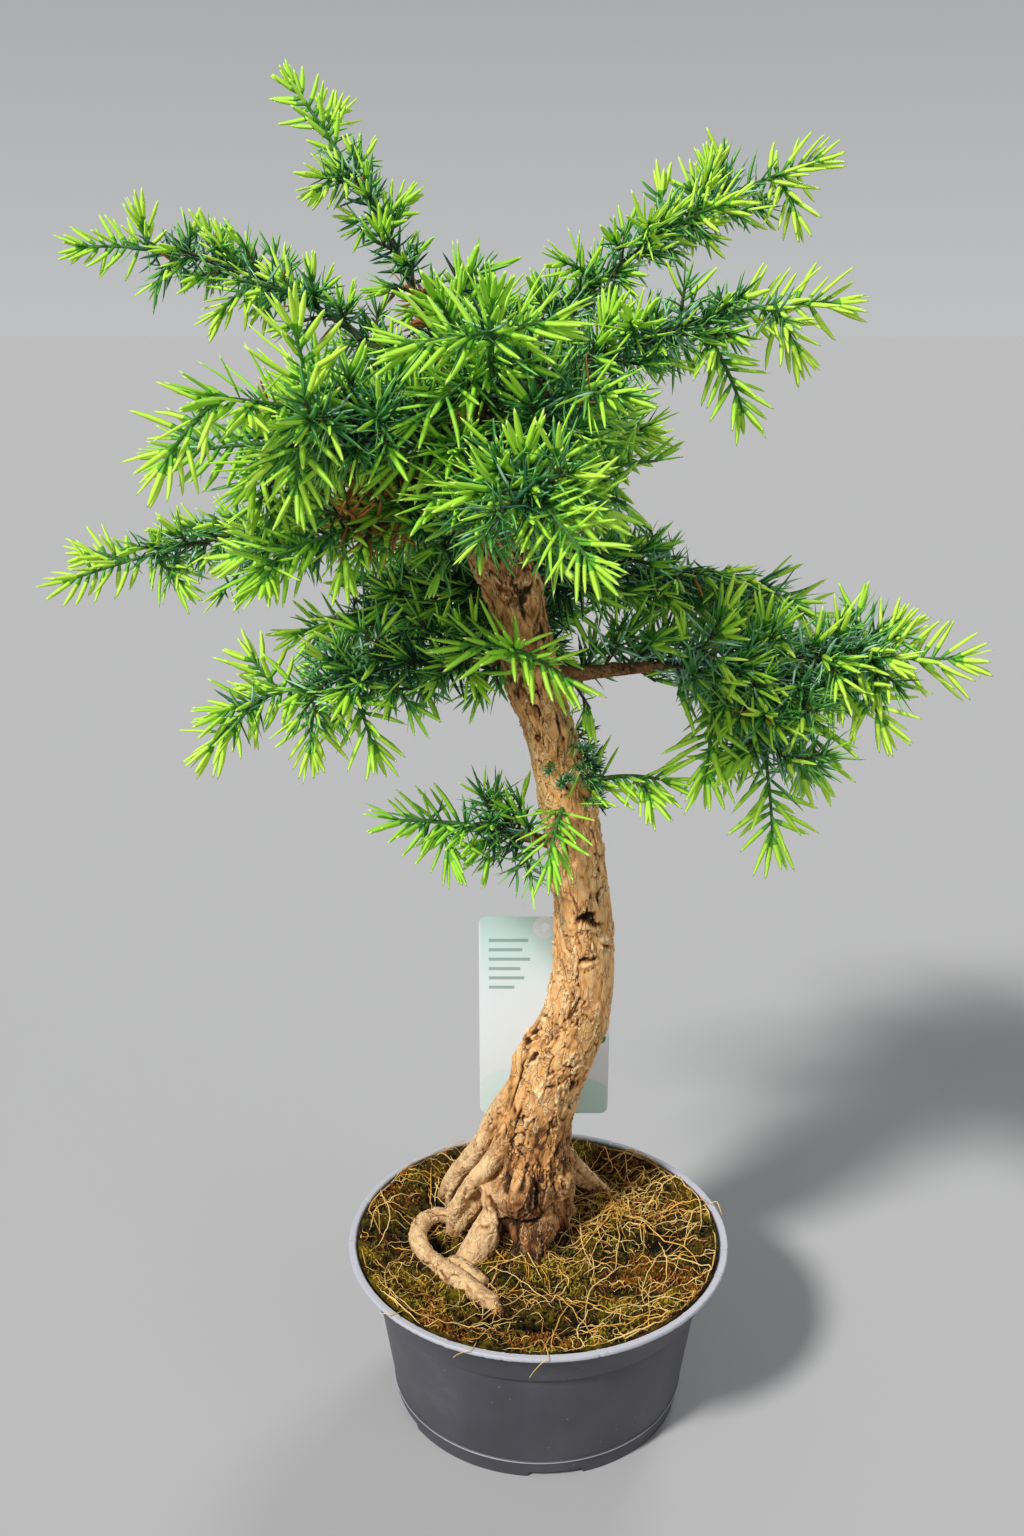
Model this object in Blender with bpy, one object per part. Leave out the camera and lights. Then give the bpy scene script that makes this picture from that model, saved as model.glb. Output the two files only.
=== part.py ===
"""Hoop pine bonsai in its nursery pot: pot, soil, plant label, trunk with surface roots,
one tapering bough for each branch and one mass of needles at the end of each bough.

Metres, +Z up. The origin is the centre of the pot's flat underside, and the plant is seen
from the front along +Y. A heading of 0 degrees points along +X and 90 degrees along +Y.
A rise is the angle above the level.
"""

import math
import random
from typing import NamedTuple

import bmesh
import bpy
import numpy as np

# Clearances and facets

GAP = 0.0003
POT_SEGMENTS = 48
TRUNK_SIDES = 12
TRUNK_STEPS_PER_SPAN = 2
ROOT_SIDES = 6
BOUGH_SIDES = 6
BOUGH_STEP = 0.014
POT_SHARP_ANGLE = 30.0
BARK_SHARP_ANGLE = 50.0
ALONG_GUIDE = 0.9

# Pot

POT_HEIGHT = 0.085
LIP_RADIUS = 0.095
LIP_INNER_RADIUS = 0.0915
LIP_THICKNESS = 0.0022
COLLAR_TOP_RADIUS = 0.0900
COLLAR_FOOT_RADIUS = 0.0830
COLLAR_FOOT_HEIGHT = 0.064
COLLAR_STEP = 0.0012
WALL_TOP_RADIUS = 0.0815
RIDGE_HEIGHT = 0.012
RIDGE_RADIUS = 0.0773
RIDGE_PROUD = 0.0006
RIDGE_WIDTH = 0.0012
BASE_RADIUS = 0.0724
WALL_THICKNESS = 0.0013
FLOOR_THICKNESS = 0.004
NOTCH_COUNT = 5
NOTCH_WIDTH = 0.026
NOTCH_HEIGHT = 0.0026
NOTCH_DEPTH = 0.0022
FIRST_NOTCH_HEADING = -84.0

# Soil

SOIL_TOP = 0.0765
SOIL_EDGE_DROP = 0.0025
SOIL_EDGE_WIDTH = 0.008

# Plant label

LABEL_WIDTH = 0.0670
LABEL_CENTRE_X = 0.0036
LABEL_Y = 0.046
LABEL_BOTTOM = 0.1255
LABEL_TOP = 0.2370
LABEL_THICKNESS = 0.0008
LABEL_CORNER = 0.004
LABEL_TAIL_WIDTH = 0.010
LABEL_TAIL_SHIFT = -0.004
LABEL_HOLE_RADIUS = 0.0022
LABEL_HOLE_DROP = 0.0055
CORNER_STEPS = 5

# Trunk: the centre line's x, y, z and the diameter there, from below the soil to the tip


class TrunkPoint(NamedTuple):
    x: float
    y: float
    z: float
    diameter: float


TRUNK_LINE = (
    TrunkPoint(-0.0090, 0.0195, 0.0690, 0.0430),
    TrunkPoint(-0.0050, 0.0180, 0.1030, 0.0385),
    TrunkPoint(0.0000, 0.0150, 0.1450, 0.0360),
    TrunkPoint(0.0080, 0.0120, 0.1750, 0.0345),
    TrunkPoint(0.0185, 0.0080, 0.2040, 0.0320),
    TrunkPoint(0.0210, 0.0040, 0.2380, 0.0286),
    TrunkPoint(0.0180, 0.0000, 0.2800, 0.0261),
    TrunkPoint(0.0075, -0.0070, 0.3360, 0.0232),
    TrunkPoint(-0.0045, -0.0160, 0.3790, 0.0212),
    TrunkPoint(-0.0130, -0.0260, 0.4160, 0.0214),
    TrunkPoint(-0.0230, -0.0350, 0.4450, 0.0208),
    TrunkPoint(-0.0300, -0.0450, 0.4830, 0.0158),
    TrunkPoint(-0.0310, -0.0480, 0.4940, 0.0130),
)

# Swellings on the trunk: height, heading, how far it stands out and how wide it is


class Knob(NamedTuple):
    height: float
    heading: float
    proud: float
    spread: float


KNOBS = (
    Knob(0.1780, -170.0, 0.0035, 0.0100),
    Knob(0.2570, -85.0, 0.0020, 0.0070),
    Knob(0.4200, -60.0, 0.0030, 0.0080),
    Knob(0.3700, -150.0, 0.0020, 0.0100),
    Knob(0.3150, -30.0, 0.0020, 0.0090),
)

# Roots that show above the soil: where each leaves the trunk and where its foot enters the soil


class Root(NamedTuple):
    height: float
    foot_x: float
    foot_y: float
    thick: float
    foot_thick: float


ROOTS = (
    Root(0.1250, -0.0490, 0.0440, 0.0150, 0.0080),
    Root(0.1150, -0.0460, 0.0125, 0.0150, 0.0085),
    Root(0.1020, -0.0385, -0.0160, 0.0180, 0.0140),
    Root(0.1000, -0.0050, -0.0060, 0.0260, 0.0200),
    Root(0.1000, 0.0060, 0.0150, 0.0170, 0.0120),
    Root(0.1060, 0.0180, 0.0310, 0.0140, 0.0090),
    Root(0.1080, 0.0370, 0.0530, 0.0110, 0.0060),
    Root(0.1040, -0.0260, 0.0500, 0.0140, 0.0070),
)
ROOT_STEPS = 5
ROOT_SINK = 0.006
ROOT_BELLY = 0.35

# The curled root that lies on the soil, and its short side root: x, y, z and diameter

CURLED_ROOT = (
    TrunkPoint(-0.0430, 0.0130, 0.0840, 0.0090),
    TrunkPoint(-0.0520, 0.0145, 0.0850, 0.0090),
    TrunkPoint(-0.0600, 0.0080, 0.0830, 0.0092),
    TrunkPoint(-0.0590, -0.0070, 0.0812, 0.0092),
    TrunkPoint(-0.0470, -0.0230, 0.0800, 0.0090),
    TrunkPoint(-0.0300, -0.0400, 0.0785, 0.0082),
    TrunkPoint(-0.0160, -0.0510, 0.0765, 0.0070),
)
SIDE_ROOT = (
    TrunkPoint(-0.0440, -0.0165, 0.0800, 0.0076),
    TrunkPoint(-0.0357, -0.0240, 0.0795, 0.0074),
    TrunkPoint(-0.0265, -0.0320, 0.0770, 0.0060),
)

# Branches


class Spur(NamedTuple):
    """A side shoot: how far along the branch it leaves, its heading, rise and length."""

    along: float
    heading: float
    rise: float
    length: float


class Branch(NamedTuple):
    """A bare bough from the trunk, then a mass of needles that carries on along its curve.

    The heading changes by turn and the rise by lift, evenly, over the reach.
    """

    name: str
    height: float
    heading: float
    rise: float
    reach: float
    turn: float
    lift: float
    bare: float
    thick: float
    spurs: tuple = ()
    fillers: int = 2


BRANCHES = (
    Branch("leader_left", 0.486, 130, 60, 0.170, 22, -12, 0.030, 0.0062, (
        Spur(0.67, -130, -20, 0.030),
        Spur(0.53, 40, 40, 0.024),
    ), 1),
    Branch("upper_left", 0.476, 160, 50, 0.210, 0, -55, 0.035, 0.0062, (
        Spur(0.80, -130, 80, 0.015),
        Spur(0.60, -165, 60, 0.018),
        Spur(0.53, -160, -35, 0.032),
    )),
    Branch("upper_right", 0.483, 35, 50, 0.205, -20, -35, 0.032, 0.0062, (
        Spur(0.65, -70, 40, 0.026),
        Spur(0.53, -90, 15, 0.037),
        Spur(0.85, -30, -60, 0.028),
        Spur(0.40, -135, 20, 0.032),
    )),
    Branch("mid_right", 0.468, 0, 50, 0.170, 5, -55, 0.030, 0.0060, (
        Spur(0.78, 5, -50, 0.031),
        Spur(0.62, -15, -60, 0.048),
        Spur(0.47, -100, 20, 0.033),
    )),
    Branch("front_left", 0.466, -120, 25, 0.135, -40, -20, 0.025, 0.0056, (
        Spur(0.67, -115, 75, 0.040),
        Spur(0.90, 165, -45, 0.043),
        Spur(0.67, -130, -75, 0.038),
    )),
    Branch("front_top", 0.484, -70, 20, 0.085, -25, 45, 0.020, 0.0050, (
        Spur(0.70, -175, -5, 0.040),
        Spur(0.53, -150, -30, 0.045),
        Spur(0.70, -15, 15, 0.032),
    )),
    Branch("front_center", 0.452, -85, 30, 0.135, 30, -70, 0.025, 0.0054, (
        Spur(0.34, -130, -5, 0.049),
        Spur(0.55, -100, 60, 0.028),
    )),
    Branch("left_mid", 0.456, -160, 30, 0.135, -15, -45, 0.028, 0.0054, (
        Spur(0.60, -85, -70, 0.035),
    )),
    Branch("left_drop", 0.436, -140, 30, 0.120, -25, -70, 0.025, 0.0050, (
        Spur(0.58, -100, -60, 0.025),
        Spur(0.75, 155, -10, 0.040),
    )),
    Branch("left_thin", 0.446, 145, 0, 0.215, 40, -20, 0.035, 0.0050, (
        Spur(0.77, -25, -40, 0.029),
        Spur(0.82, 160, 10, 0.029),
    )),
    Branch("left_low", 0.385, 175, 0, 0.145, 20, -20, 0.030, 0.0060, (
        Spur(0.80, -170, -40, 0.043),
        Spur(0.63, -115, -75, 0.039),
        Spur(0.55, -35, -65, 0.044),
        Spur(0.75, 145, 40, 0.030),
    )),
    Branch("right_low", 0.375, 10, 5, 0.195, -20, -5, 0.055, 0.0066, (
        Spur(0.67, -25, -45, 0.046),
        Spur(0.60, -55, -75, 0.060),
        Spur(0.48, -45, -75, 0.091),
        Spur(0.42, -110, -70, 0.061),
        Spur(0.35, -120, -65, 0.062),
        Spur(0.77, 30, 45, 0.025),
    )),
    Branch("right_back", 0.415, 40, 10, 0.175, -30, -40, 0.032, 0.0054, (), 4),
    Branch("low_left", 0.290, 180, 20, 0.095, 20, -15, 0.025, 0.0042, (
        Spur(0.68, -45, -70, 0.027),
    )),
    Branch("right_inner", 0.459, -50, 55, 0.110, -15, -65, 0.028, 0.0046),
    Branch("right_small", 0.438, 15, 45, 0.090, 5, -50, 0.028, 0.0044),
    Branch("left_back_low", 0.416, 125, -10, 0.140, 45, -10, 0.030, 0.0050, (), 4),
    Branch("back_high", 0.480, 80, 45, 0.130, 10, -40, 0.030, 0.0054, (), 3),
    Branch("back_left", 0.465, 125, 20, 0.165, -10, -25, 0.032, 0.0054, (), 3),
    Branch("back_right", 0.462, 55, 15, 0.165, 10, -25, 0.032, 0.0054, (), 3),
    Branch("back_mid", 0.435, 100, 5, 0.145, -15, -25, 0.030, 0.0050, (), 3),
    Branch("back_low", 0.400, 85, -5, 0.150, 20, -20, 0.032, 0.0054, (), 3),
    Branch("inner_front", 0.4745, -98, 20, 0.058, 0, -35, 0.0, 0.0036, (
        Spur(0.60, -170, -15, 0.036),
        Spur(0.62, -50, -5, 0.030),
    ), 0),
    Branch("inner_left", 0.449, -138, 25, 0.062, -20, -50, 0.0, 0.0036, (
        Spur(0.60, 165, -5, 0.034),
    ), 0),
    Branch("inner_right", 0.450, -25, 25, 0.070, 20, -45, 0.0, 0.0036, (
        Spur(0.50, -75, -20, 0.032),
    ), 1),
    Branch("crown_top", 0.494, -30, 105, 0.055, -5, -30, 0.0, 0.0040, (
        Spur(0.43, -110, 40, 0.033),
    ), 1),
    Branch("trunk_spray", 0.376, -105, 30, 0.050, 0, 0, 0.0, 0.0036, (
        Spur(0.80, 185, 5, 0.030),
        Spur(0.80, -20, -25, 0.036),
    ), 0),
    Branch("hanging_spray", 0.315, -100, 15, 0.050, -15, -105, 0.0, 0.0036, (), 0),
    Branch("small_right", 0.319, -15, 35, 0.058, 0, -55, 0.0, 0.0036, (
        Spur(0.60, -60, -35, 0.022),
    ), 0),
)

# Needles: a shoot is a three-sided core, and each facet of it is drawn out into one needle

SHOOT_SIDES = 3
NEEDLE_STEP = 0.0083
NEEDLE_LENGTH = 0.0175
ROOT_NEEDLE_SHARE = 0.70
NEEDLE_SPREAD = 62.0
TIP_NEEDLE_SPREAD = 34.0
NEEDLE_TWIST = 40.0
SHOOT_TWIST_SHARE = 0.43
SHOOT_ROOT_RADIUS = 0.0011
SHOOT_TIP_RADIUS = 0.0008
STEM_ROOT_RADIUS = 0.0017
TIP_NEEDLE_LENGTH = 0.010
BLUNT_TIP_LENGTH = 0.003
SPUR_SAG = -20.0
PATH_STEP = 0.0025

# Spacing: shoots keep apart, and a needle keeps to its own mass

SHOOT_CLEAR = 0.0065
STEM_CLEAR = 0.0025
SHOOT_ROOT_FREE = 0.010
NEEDLE_MARGIN = 0.0024
LIMB_MARGIN = 0.0010
OWN_CORE_CLEAR = 0.0016
NEEDLE_SAMPLES = 12

# Side shoots by rule, for the parts of the crown that the named spurs leave open

FILLER_SEED = 5
FILLER_FIRST = 0.38
FILLER_LAST = 0.86
FILLER_TURN = (38.0, 78.0)
FILLER_DROP = (-38.0, 12.0)
FILLER_SHARE = 0.34
FILLER_TAPER = 0.5
FILLER_VARY = (0.8, 1.2)
FILLER_TRIES = 8
FILLER_SHORTEST = 0.024
SHORTEST_SPUR = 0.010


def clear_scene():
    """Takes everything out of the open file's scene."""
    for item in list(bpy.data.objects):
        bpy.data.objects.remove(item, do_unlink=True)


def finish(name, colour, roughness):
    """A plain material of one colour."""
    material = bpy.data.materials.new(name)
    material.use_nodes = True
    shader = material.node_tree.nodes["Principled BSDF"]
    shader.inputs["Base Color"].default_value = (*colour, 1.0)
    shader.inputs["Roughness"].default_value = roughness
    shader.inputs["Metallic"].default_value = 0.0
    return material


def link(name, mesh, material):
    """Puts a mesh in the scene as one named object."""
    item = bpy.data.objects.new(name, mesh)
    item.data.materials.clear()
    item.data.materials.append(material)
    bpy.context.scene.collection.objects.link(item)
    return item


def mesh_from(name, points, faces):
    """A mesh of the given points and faces, its faces pointing out."""
    mesh = bpy.data.meshes.new(name)
    mesh.from_pydata([tuple(point) for point in points], [], faces)
    outward(mesh)
    return mesh


def outward(mesh):
    """Turns the faces of a closed mesh to point out."""
    shape = bmesh.new()
    shape.from_mesh(mesh)
    bmesh.ops.recalc_face_normals(shape, faces=shape.faces)
    shape.to_mesh(mesh)
    shape.free()


def boolean(item, other, operation):
    """Joins or cuts an object with another object, or with each object of a collection."""
    modifier = item.modifiers.new(operation.lower(), "BOOLEAN")
    modifier.operation = operation
    modifier.solver = "EXACT"
    if isinstance(other, bpy.types.Collection):
        modifier.operand_type = "COLLECTION"
        modifier.collection = other
    else:
        modifier.object = other
    bpy.context.view_layer.update()
    graph = bpy.context.evaluated_depsgraph_get()
    made = bpy.data.meshes.new_from_object(item.evaluated_get(graph))
    item.modifiers.clear()
    old = item.data
    item.data = made
    bpy.data.meshes.remove(old)


def union(item, others):
    """Fuses the other objects into one, and removes them."""
    if not others:
        return
    group = bpy.data.collections.new(item.name + "_parts")
    bpy.context.scene.collection.children.link(group)
    for other in others:
        bpy.context.scene.collection.objects.unlink(other)
        group.objects.link(other)
    boolean(item, group, "UNION")
    for other in others:
        bpy.data.objects.remove(other, do_unlink=True)
    bpy.data.collections.remove(group)


def cut(item, cutter):
    """Takes the cutter's space out of an object, and removes the cutter."""
    boolean(item, cutter, "DIFFERENCE")
    bpy.data.objects.remove(cutter, do_unlink=True)


def block(name, centre, size, heading=0.0):
    """A box, turned about its upright axis."""
    shape = bmesh.new()
    bmesh.ops.create_cube(shape, size=1.0)
    bmesh.ops.scale(shape, vec=size, verts=shape.verts)
    mesh = bpy.data.meshes.new(name)
    shape.to_mesh(mesh)
    shape.free()
    item = bpy.data.objects.new(name, mesh)
    item.location = centre
    item.rotation_euler.z = math.radians(heading)
    item.hide_render = True
    item.display_type = "WIRE"
    bpy.context.scene.collection.objects.link(item)
    return item


def turned(name, profile, segments):
    """A solid of revolution: the profile runs from the axis, round the section and back to it."""
    shape = bmesh.new()
    points = [shape.verts.new((radius, 0.0, height)) for radius, height in profile]
    edges = [shape.edges.new(pair) for pair in zip(points, points[1:])]
    bmesh.ops.spin(
        shape, geom=points + edges, cent=(0, 0, 0), axis=(0, 0, 1),
        angle=math.tau, steps=segments, use_merge=True,
    )
    bmesh.ops.remove_doubles(shape, verts=shape.verts, dist=1e-6)
    bmesh.ops.recalc_face_normals(shape, faces=shape.faces)
    mesh = bpy.data.meshes.new(name)
    shape.to_mesh(mesh)
    shape.free()
    return mesh


def smooth_line(rows, steps):
    """Points on a smooth curve through the rows, the same number of steps between each two."""
    rows = np.array(rows, float)
    ends = np.vstack([2 * rows[0] - rows[1], rows, 2 * rows[-1] - rows[-2]])
    t = (np.arange(steps) / steps)[:, None]
    spans = []
    for before, start, end, after in zip(ends, ends[1:], ends[2:], ends[3:]):
        slope = (end - before) / 2
        next_slope = (after - start) / 2
        spans.append(
            (2 * t**3 - 3 * t**2 + 1) * start + (t**3 - 2 * t**2 + t) * slope
            + (3 * t**2 - 2 * t**3) * end + (t**3 - t**2) * next_slope
        )
    return np.vstack(spans + [rows[-1:]])


def unit(vectors):
    """The vectors at length 1."""
    return vectors / np.linalg.norm(vectors, axis=-1, keepdims=True)


def frames_along(points):
    """The line's direction at each point, and two directions square to it and to each other.

    They are set from the first of X, Y and Z that the line never runs along.
    """
    tangent = unit(np.gradient(points, axis=0))
    clear = [axis for axis in range(3) if abs(tangent[:, axis]).max() < ALONG_GUIDE]
    guide = np.eye(3)[clear[0] if clear else 2]
    first = unit(guide - (tangent @ guide)[:, None] * tangent)
    return tangent, first, np.cross(tangent, first)


def tube_mesh(name, points, radii, sides):
    """A tapering tube with flat ends. Radii holds one value a ring, or one a side and ring."""
    _, first, second = frames_along(points)
    angle = np.arange(sides) * math.tau / sides
    radii = np.asarray(radii, float)
    if radii.ndim == 1:
        radii = radii[:, None]
    radii = np.broadcast_to(radii, (len(points), sides))
    rings = (
        points[:, None]
        + (radii * np.cos(angle))[..., None] * first[:, None]
        + (radii * np.sin(angle))[..., None] * second[:, None]
    )
    faces = [tuple(range(sides)), tuple((len(points) - 1) * sides + i for i in range(sides))]
    for ring in range(len(points) - 1):
        for side in range(sides):
            after = (side + 1) % sides
            low = ring * sides
            faces.append((low + side, low + after, low + sides + after, low + sides + side))
    return mesh_from(name, rings.reshape(-1, 3), faces)


def limb_path(start, heading, rise, reach, turn, lift, steps):
    """A line whose heading and rise change evenly from its root to its tip."""
    share = (np.arange(steps) + 0.5) / steps
    level = np.radians(heading + turn * share)
    climb = np.radians(rise + lift * share)
    stride = np.stack(
        [np.cos(climb) * np.cos(level), np.cos(climb) * np.sin(level), np.sin(climb)], -1
    )
    return np.vstack([start, start + np.cumsum(stride * reach / steps, 0)])


def resample(points, step):
    """The same line with even steps near the length asked for."""
    along = np.concatenate([[0.0], np.cumsum(np.linalg.norm(np.diff(points, axis=0), axis=1))])
    count = max(2, round(along[-1] / step))
    marks = np.linspace(0.0, along[-1], count + 1)
    return np.stack([np.interp(marks, along, points[:, axis]) for axis in range(3)], -1)


# Pot, soil and label


def pot_wall_radius(height):
    """The outer radius of the pot's wall, without its ridge and lip."""
    heights = (0.0, RIDGE_HEIGHT, COLLAR_FOOT_HEIGHT, POT_HEIGHT)
    return float(np.interp(height, heights, (BASE_RADIUS, RIDGE_RADIUS, WALL_TOP_RADIUS, COLLAR_TOP_RADIUS)))


def pot_profile():
    """The pot's section, from the centre of its underside out, up, over the lip and back in."""
    lip_foot = POT_HEIGHT - LIP_THICKNESS
    ridge_top = RIDGE_HEIGHT + RIDGE_WIDTH
    return (
        (0.0, 0.0),
        (BASE_RADIUS, 0.0),
        (RIDGE_RADIUS, RIDGE_HEIGHT),
        (RIDGE_RADIUS + RIDGE_PROUD, RIDGE_HEIGHT + RIDGE_WIDTH / 2),
        (pot_wall_radius(ridge_top), ridge_top),
        (WALL_TOP_RADIUS, COLLAR_FOOT_HEIGHT),
        (COLLAR_FOOT_RADIUS, COLLAR_FOOT_HEIGHT + COLLAR_STEP),
        (COLLAR_TOP_RADIUS, lip_foot),
        (LIP_RADIUS, lip_foot),
        (LIP_RADIUS, POT_HEIGHT),
        (LIP_INNER_RADIUS, POT_HEIGHT),
        (COLLAR_TOP_RADIUS - WALL_THICKNESS, lip_foot - LIP_THICKNESS),
        (WALL_TOP_RADIUS - WALL_THICKNESS, COLLAR_FOOT_HEIGHT),
        (BASE_RADIUS + FLOOR_THICKNESS - WALL_THICKNESS, FLOOR_THICKNESS),
        (0.0, FLOOR_THICKNESS),
    )


def make_pot(material):
    """The pot: a turned shell with low notches cut into its foot."""
    pot = link("pot", turned("pot", pot_profile(), POT_SEGMENTS), material)
    for number in range(NOTCH_COUNT):
        heading = math.radians(FIRST_NOTCH_HEADING + number * 360 / NOTCH_COUNT)
        out = BASE_RADIUS - NOTCH_DEPTH + NOTCH_WIDTH / 2
        centre = (out * math.cos(heading), out * math.sin(heading), 0.0)
        size = (NOTCH_WIDTH, NOTCH_WIDTH, 2 * NOTCH_HEIGHT)
        cut(pot, block("notch", centre, size, math.degrees(heading)))
    pot.data.shade_smooth()
    pot.data.set_sharp_from_angle(angle=math.radians(POT_SHARP_ANGLE))


def make_soil(material):
    """The soil that fills the pot, flat on top and a little lower along the wall."""
    edge = SOIL_TOP - SOIL_EDGE_DROP
    foot = FLOOR_THICKNESS + GAP
    inner_foot = BASE_RADIUS + FLOOR_THICKNESS - WALL_THICKNESS - 2 * GAP
    inner_top = WALL_TOP_RADIUS - WALL_THICKNESS - 2 * GAP
    slope = (COLLAR_TOP_RADIUS - WALL_TOP_RADIUS) / (
        POT_HEIGHT - 2 * LIP_THICKNESS - COLLAR_FOOT_HEIGHT
    )
    edge_radius = inner_top + slope * (edge - COLLAR_FOOT_HEIGHT)
    profile = (
        (0.0, foot),
        (inner_foot, foot),
        (inner_top, COLLAR_FOOT_HEIGHT),
        (edge_radius, edge),
        (edge_radius - SOIL_EDGE_WIDTH, SOIL_TOP),
        (0.0, SOIL_TOP),
    )
    link("soil", turned("soil", profile, POT_SEGMENTS), material)


def arc(centre_x, centre_z, radius, start, end, steps):
    """Points on a round corner, from one angle to another."""
    for number in range(steps + 1):
        angle = math.radians(start + (end - start) * number / steps)
        yield centre_x + radius * math.cos(angle), centre_z + radius * math.sin(angle)


def label_outline():
    """The card's outline with its round corners, and the tail that stands in the soil."""
    half = LABEL_WIDTH / 2 - LABEL_CORNER
    low = LABEL_BOTTOM + LABEL_CORNER
    high = LABEL_TOP - LABEL_CORNER
    tail_left = LABEL_TAIL_SHIFT - LABEL_TAIL_WIDTH / 2
    tail_right = LABEL_TAIL_SHIFT + LABEL_TAIL_WIDTH / 2
    foot = SOIL_TOP + GAP
    return (
        (tail_left, foot), (tail_right, foot), (tail_right, LABEL_BOTTOM),
        *arc(half, low, LABEL_CORNER, -90, 0, CORNER_STEPS),
        *arc(half, high, LABEL_CORNER, 0, 90, CORNER_STEPS),
        *arc(-half, high, LABEL_CORNER, 90, 180, CORNER_STEPS),
        *arc(-half, low, LABEL_CORNER, 180, 270, CORNER_STEPS),
        (tail_left, LABEL_BOTTOM),
    )


def make_label(material):
    """A thin card behind the trunk, with a hole near its top edge."""
    shape = bmesh.new()
    front = LABEL_Y - LABEL_THICKNESS / 2
    ring = [shape.verts.new((LABEL_CENTRE_X + x, front, z)) for x, z in label_outline()]
    face = shape.faces.new(ring)
    side = bmesh.ops.extrude_face_region(shape, geom=[face])
    moved = [item for item in side["geom"] if isinstance(item, bmesh.types.BMVert)]
    bmesh.ops.translate(shape, vec=(0, LABEL_THICKNESS, 0), verts=moved)
    mesh = bpy.data.meshes.new("label")
    shape.to_mesh(mesh)
    shape.free()
    outward(mesh)
    label = link("label", mesh, material)
    hole_line = np.array([
        (LABEL_CENTRE_X, LABEL_Y - LABEL_WIDTH / 4, LABEL_TOP - LABEL_HOLE_DROP),
        (LABEL_CENTRE_X, LABEL_Y + LABEL_WIDTH / 4, LABEL_TOP - LABEL_HOLE_DROP),
    ])
    hole = link("hole", tube_mesh("hole", hole_line, LABEL_HOLE_RADIUS, 4 * CORNER_STEPS), material)
    cut(label, hole)


# Trunk and roots


def trunk_rows():
    """Rings on the trunk's centre line: x, y, z and diameter."""
    return smooth_line(TRUNK_LINE, TRUNK_STEPS_PER_SPAN)


def trunk_at(height):
    """The centre of the trunk at a height."""
    rows = trunk_rows()
    return np.array([
        np.interp(height, rows[:, 2], rows[:, 0]), np.interp(height, rows[:, 2], rows[:, 1]), height
    ])


def trunk_mesh(name, more=0.0, tip_more=0.0):
    """The trunk as a tapering tube with its swellings, or one that is larger all round."""
    rows = trunk_rows()
    if tip_more:
        ahead = unit(rows[-1, :3] - rows[-2, :3]) * tip_more
        rows = np.vstack([rows, np.append(rows[-1, :3] + ahead, rows[-1, 3])])
    angle = np.arange(TRUNK_SIDES) * math.tau / TRUNK_SIDES
    radii = np.repeat(rows[:, 3:] / 2, TRUNK_SIDES, axis=1)
    for knob in KNOBS:
        turn = angle - math.radians(knob.heading)
        turn = (turn + math.pi) % math.tau - math.pi
        across = turn[None] * rows[:, 3:] / 2
        up = rows[:, 2:3] - knob.height
        radii += knob.proud * np.exp(-(across**2 + up**2) / knob.spread**2)
    return tube_mesh(name, rows[:, :3], radii + more, TRUNK_SIDES)


def root_line(root):
    """A root's line, which leaves the trunk's middle and bends down and out to its foot."""
    start = trunk_at(root.height)
    foot = np.array([root.foot_x, root.foot_y, SOIL_TOP - ROOT_SINK])
    bend = start * ROOT_BELLY + foot * (1 - ROOT_BELLY)
    bend[2] = start[2] * (1 - ROOT_BELLY) + foot[2] * ROOT_BELLY
    t = np.linspace(0.0, 1.0, ROOT_STEPS + 1)[:, None]
    return (1 - t) ** 2 * start + 2 * t * (1 - t) * bend + t**2 * foot


def make_trunk(material):
    """The trunk and the roots that show, fused and cut flat just above the soil."""
    trunk = link("trunk", trunk_mesh("trunk"), material)
    parts = []
    for number, root in enumerate(ROOTS):
        line = root_line(root)
        radii = np.linspace(root.thick, root.foot_thick, len(line)) / 2
        parts.append(link(f"root_{number}", tube_mesh("root", line, radii, ROOT_SIDES), material))
    for name, rows in (("curled_root", CURLED_ROOT), ("side_root", SIDE_ROOT)):
        line = smooth_line(rows, 2)
        mesh = tube_mesh(name, line[:, :3], line[:, 3] / 2, ROOT_SIDES)
        parts.append(link(name, mesh, material))
    union(trunk, parts)
    reach = 2 * LIP_RADIUS
    cut(trunk, block("level", (0, 0, SOIL_TOP + GAP - reach / 2), (reach, reach, reach)))
    trunk.data.shade_smooth()
    trunk.data.set_sharp_from_angle(angle=math.radians(BARK_SHARP_ANGLE))


def cut_clear_of_trunk(item, material):
    """Ends a limb just short of the trunk's surface."""
    cut(item, link("clearance", trunk_mesh("clearance", GAP, GAP), material))


# Boughs and shoots


class Shoot(NamedTuple):
    """One shoot of needles: which mass it belongs to, its line and its core's radius at the root."""

    mass: int
    line: np.ndarray
    root_radius: float


def branch_line(branch):
    """A branch's whole line, from the trunk's middle to its tip."""
    steps = round(branch.reach / PATH_STEP)
    return limb_path(
        trunk_at(branch.height), branch.heading, branch.rise, branch.reach, branch.turn, branch.lift, steps
    )


def bough_radii(branch, count):
    """Even taper from the trunk to the foliage."""
    share = np.linspace(0.0, 1.0, count)
    return branch.thick / 2 * (1 - share) + (STEM_ROOT_RADIUS + GAP) * share


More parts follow.
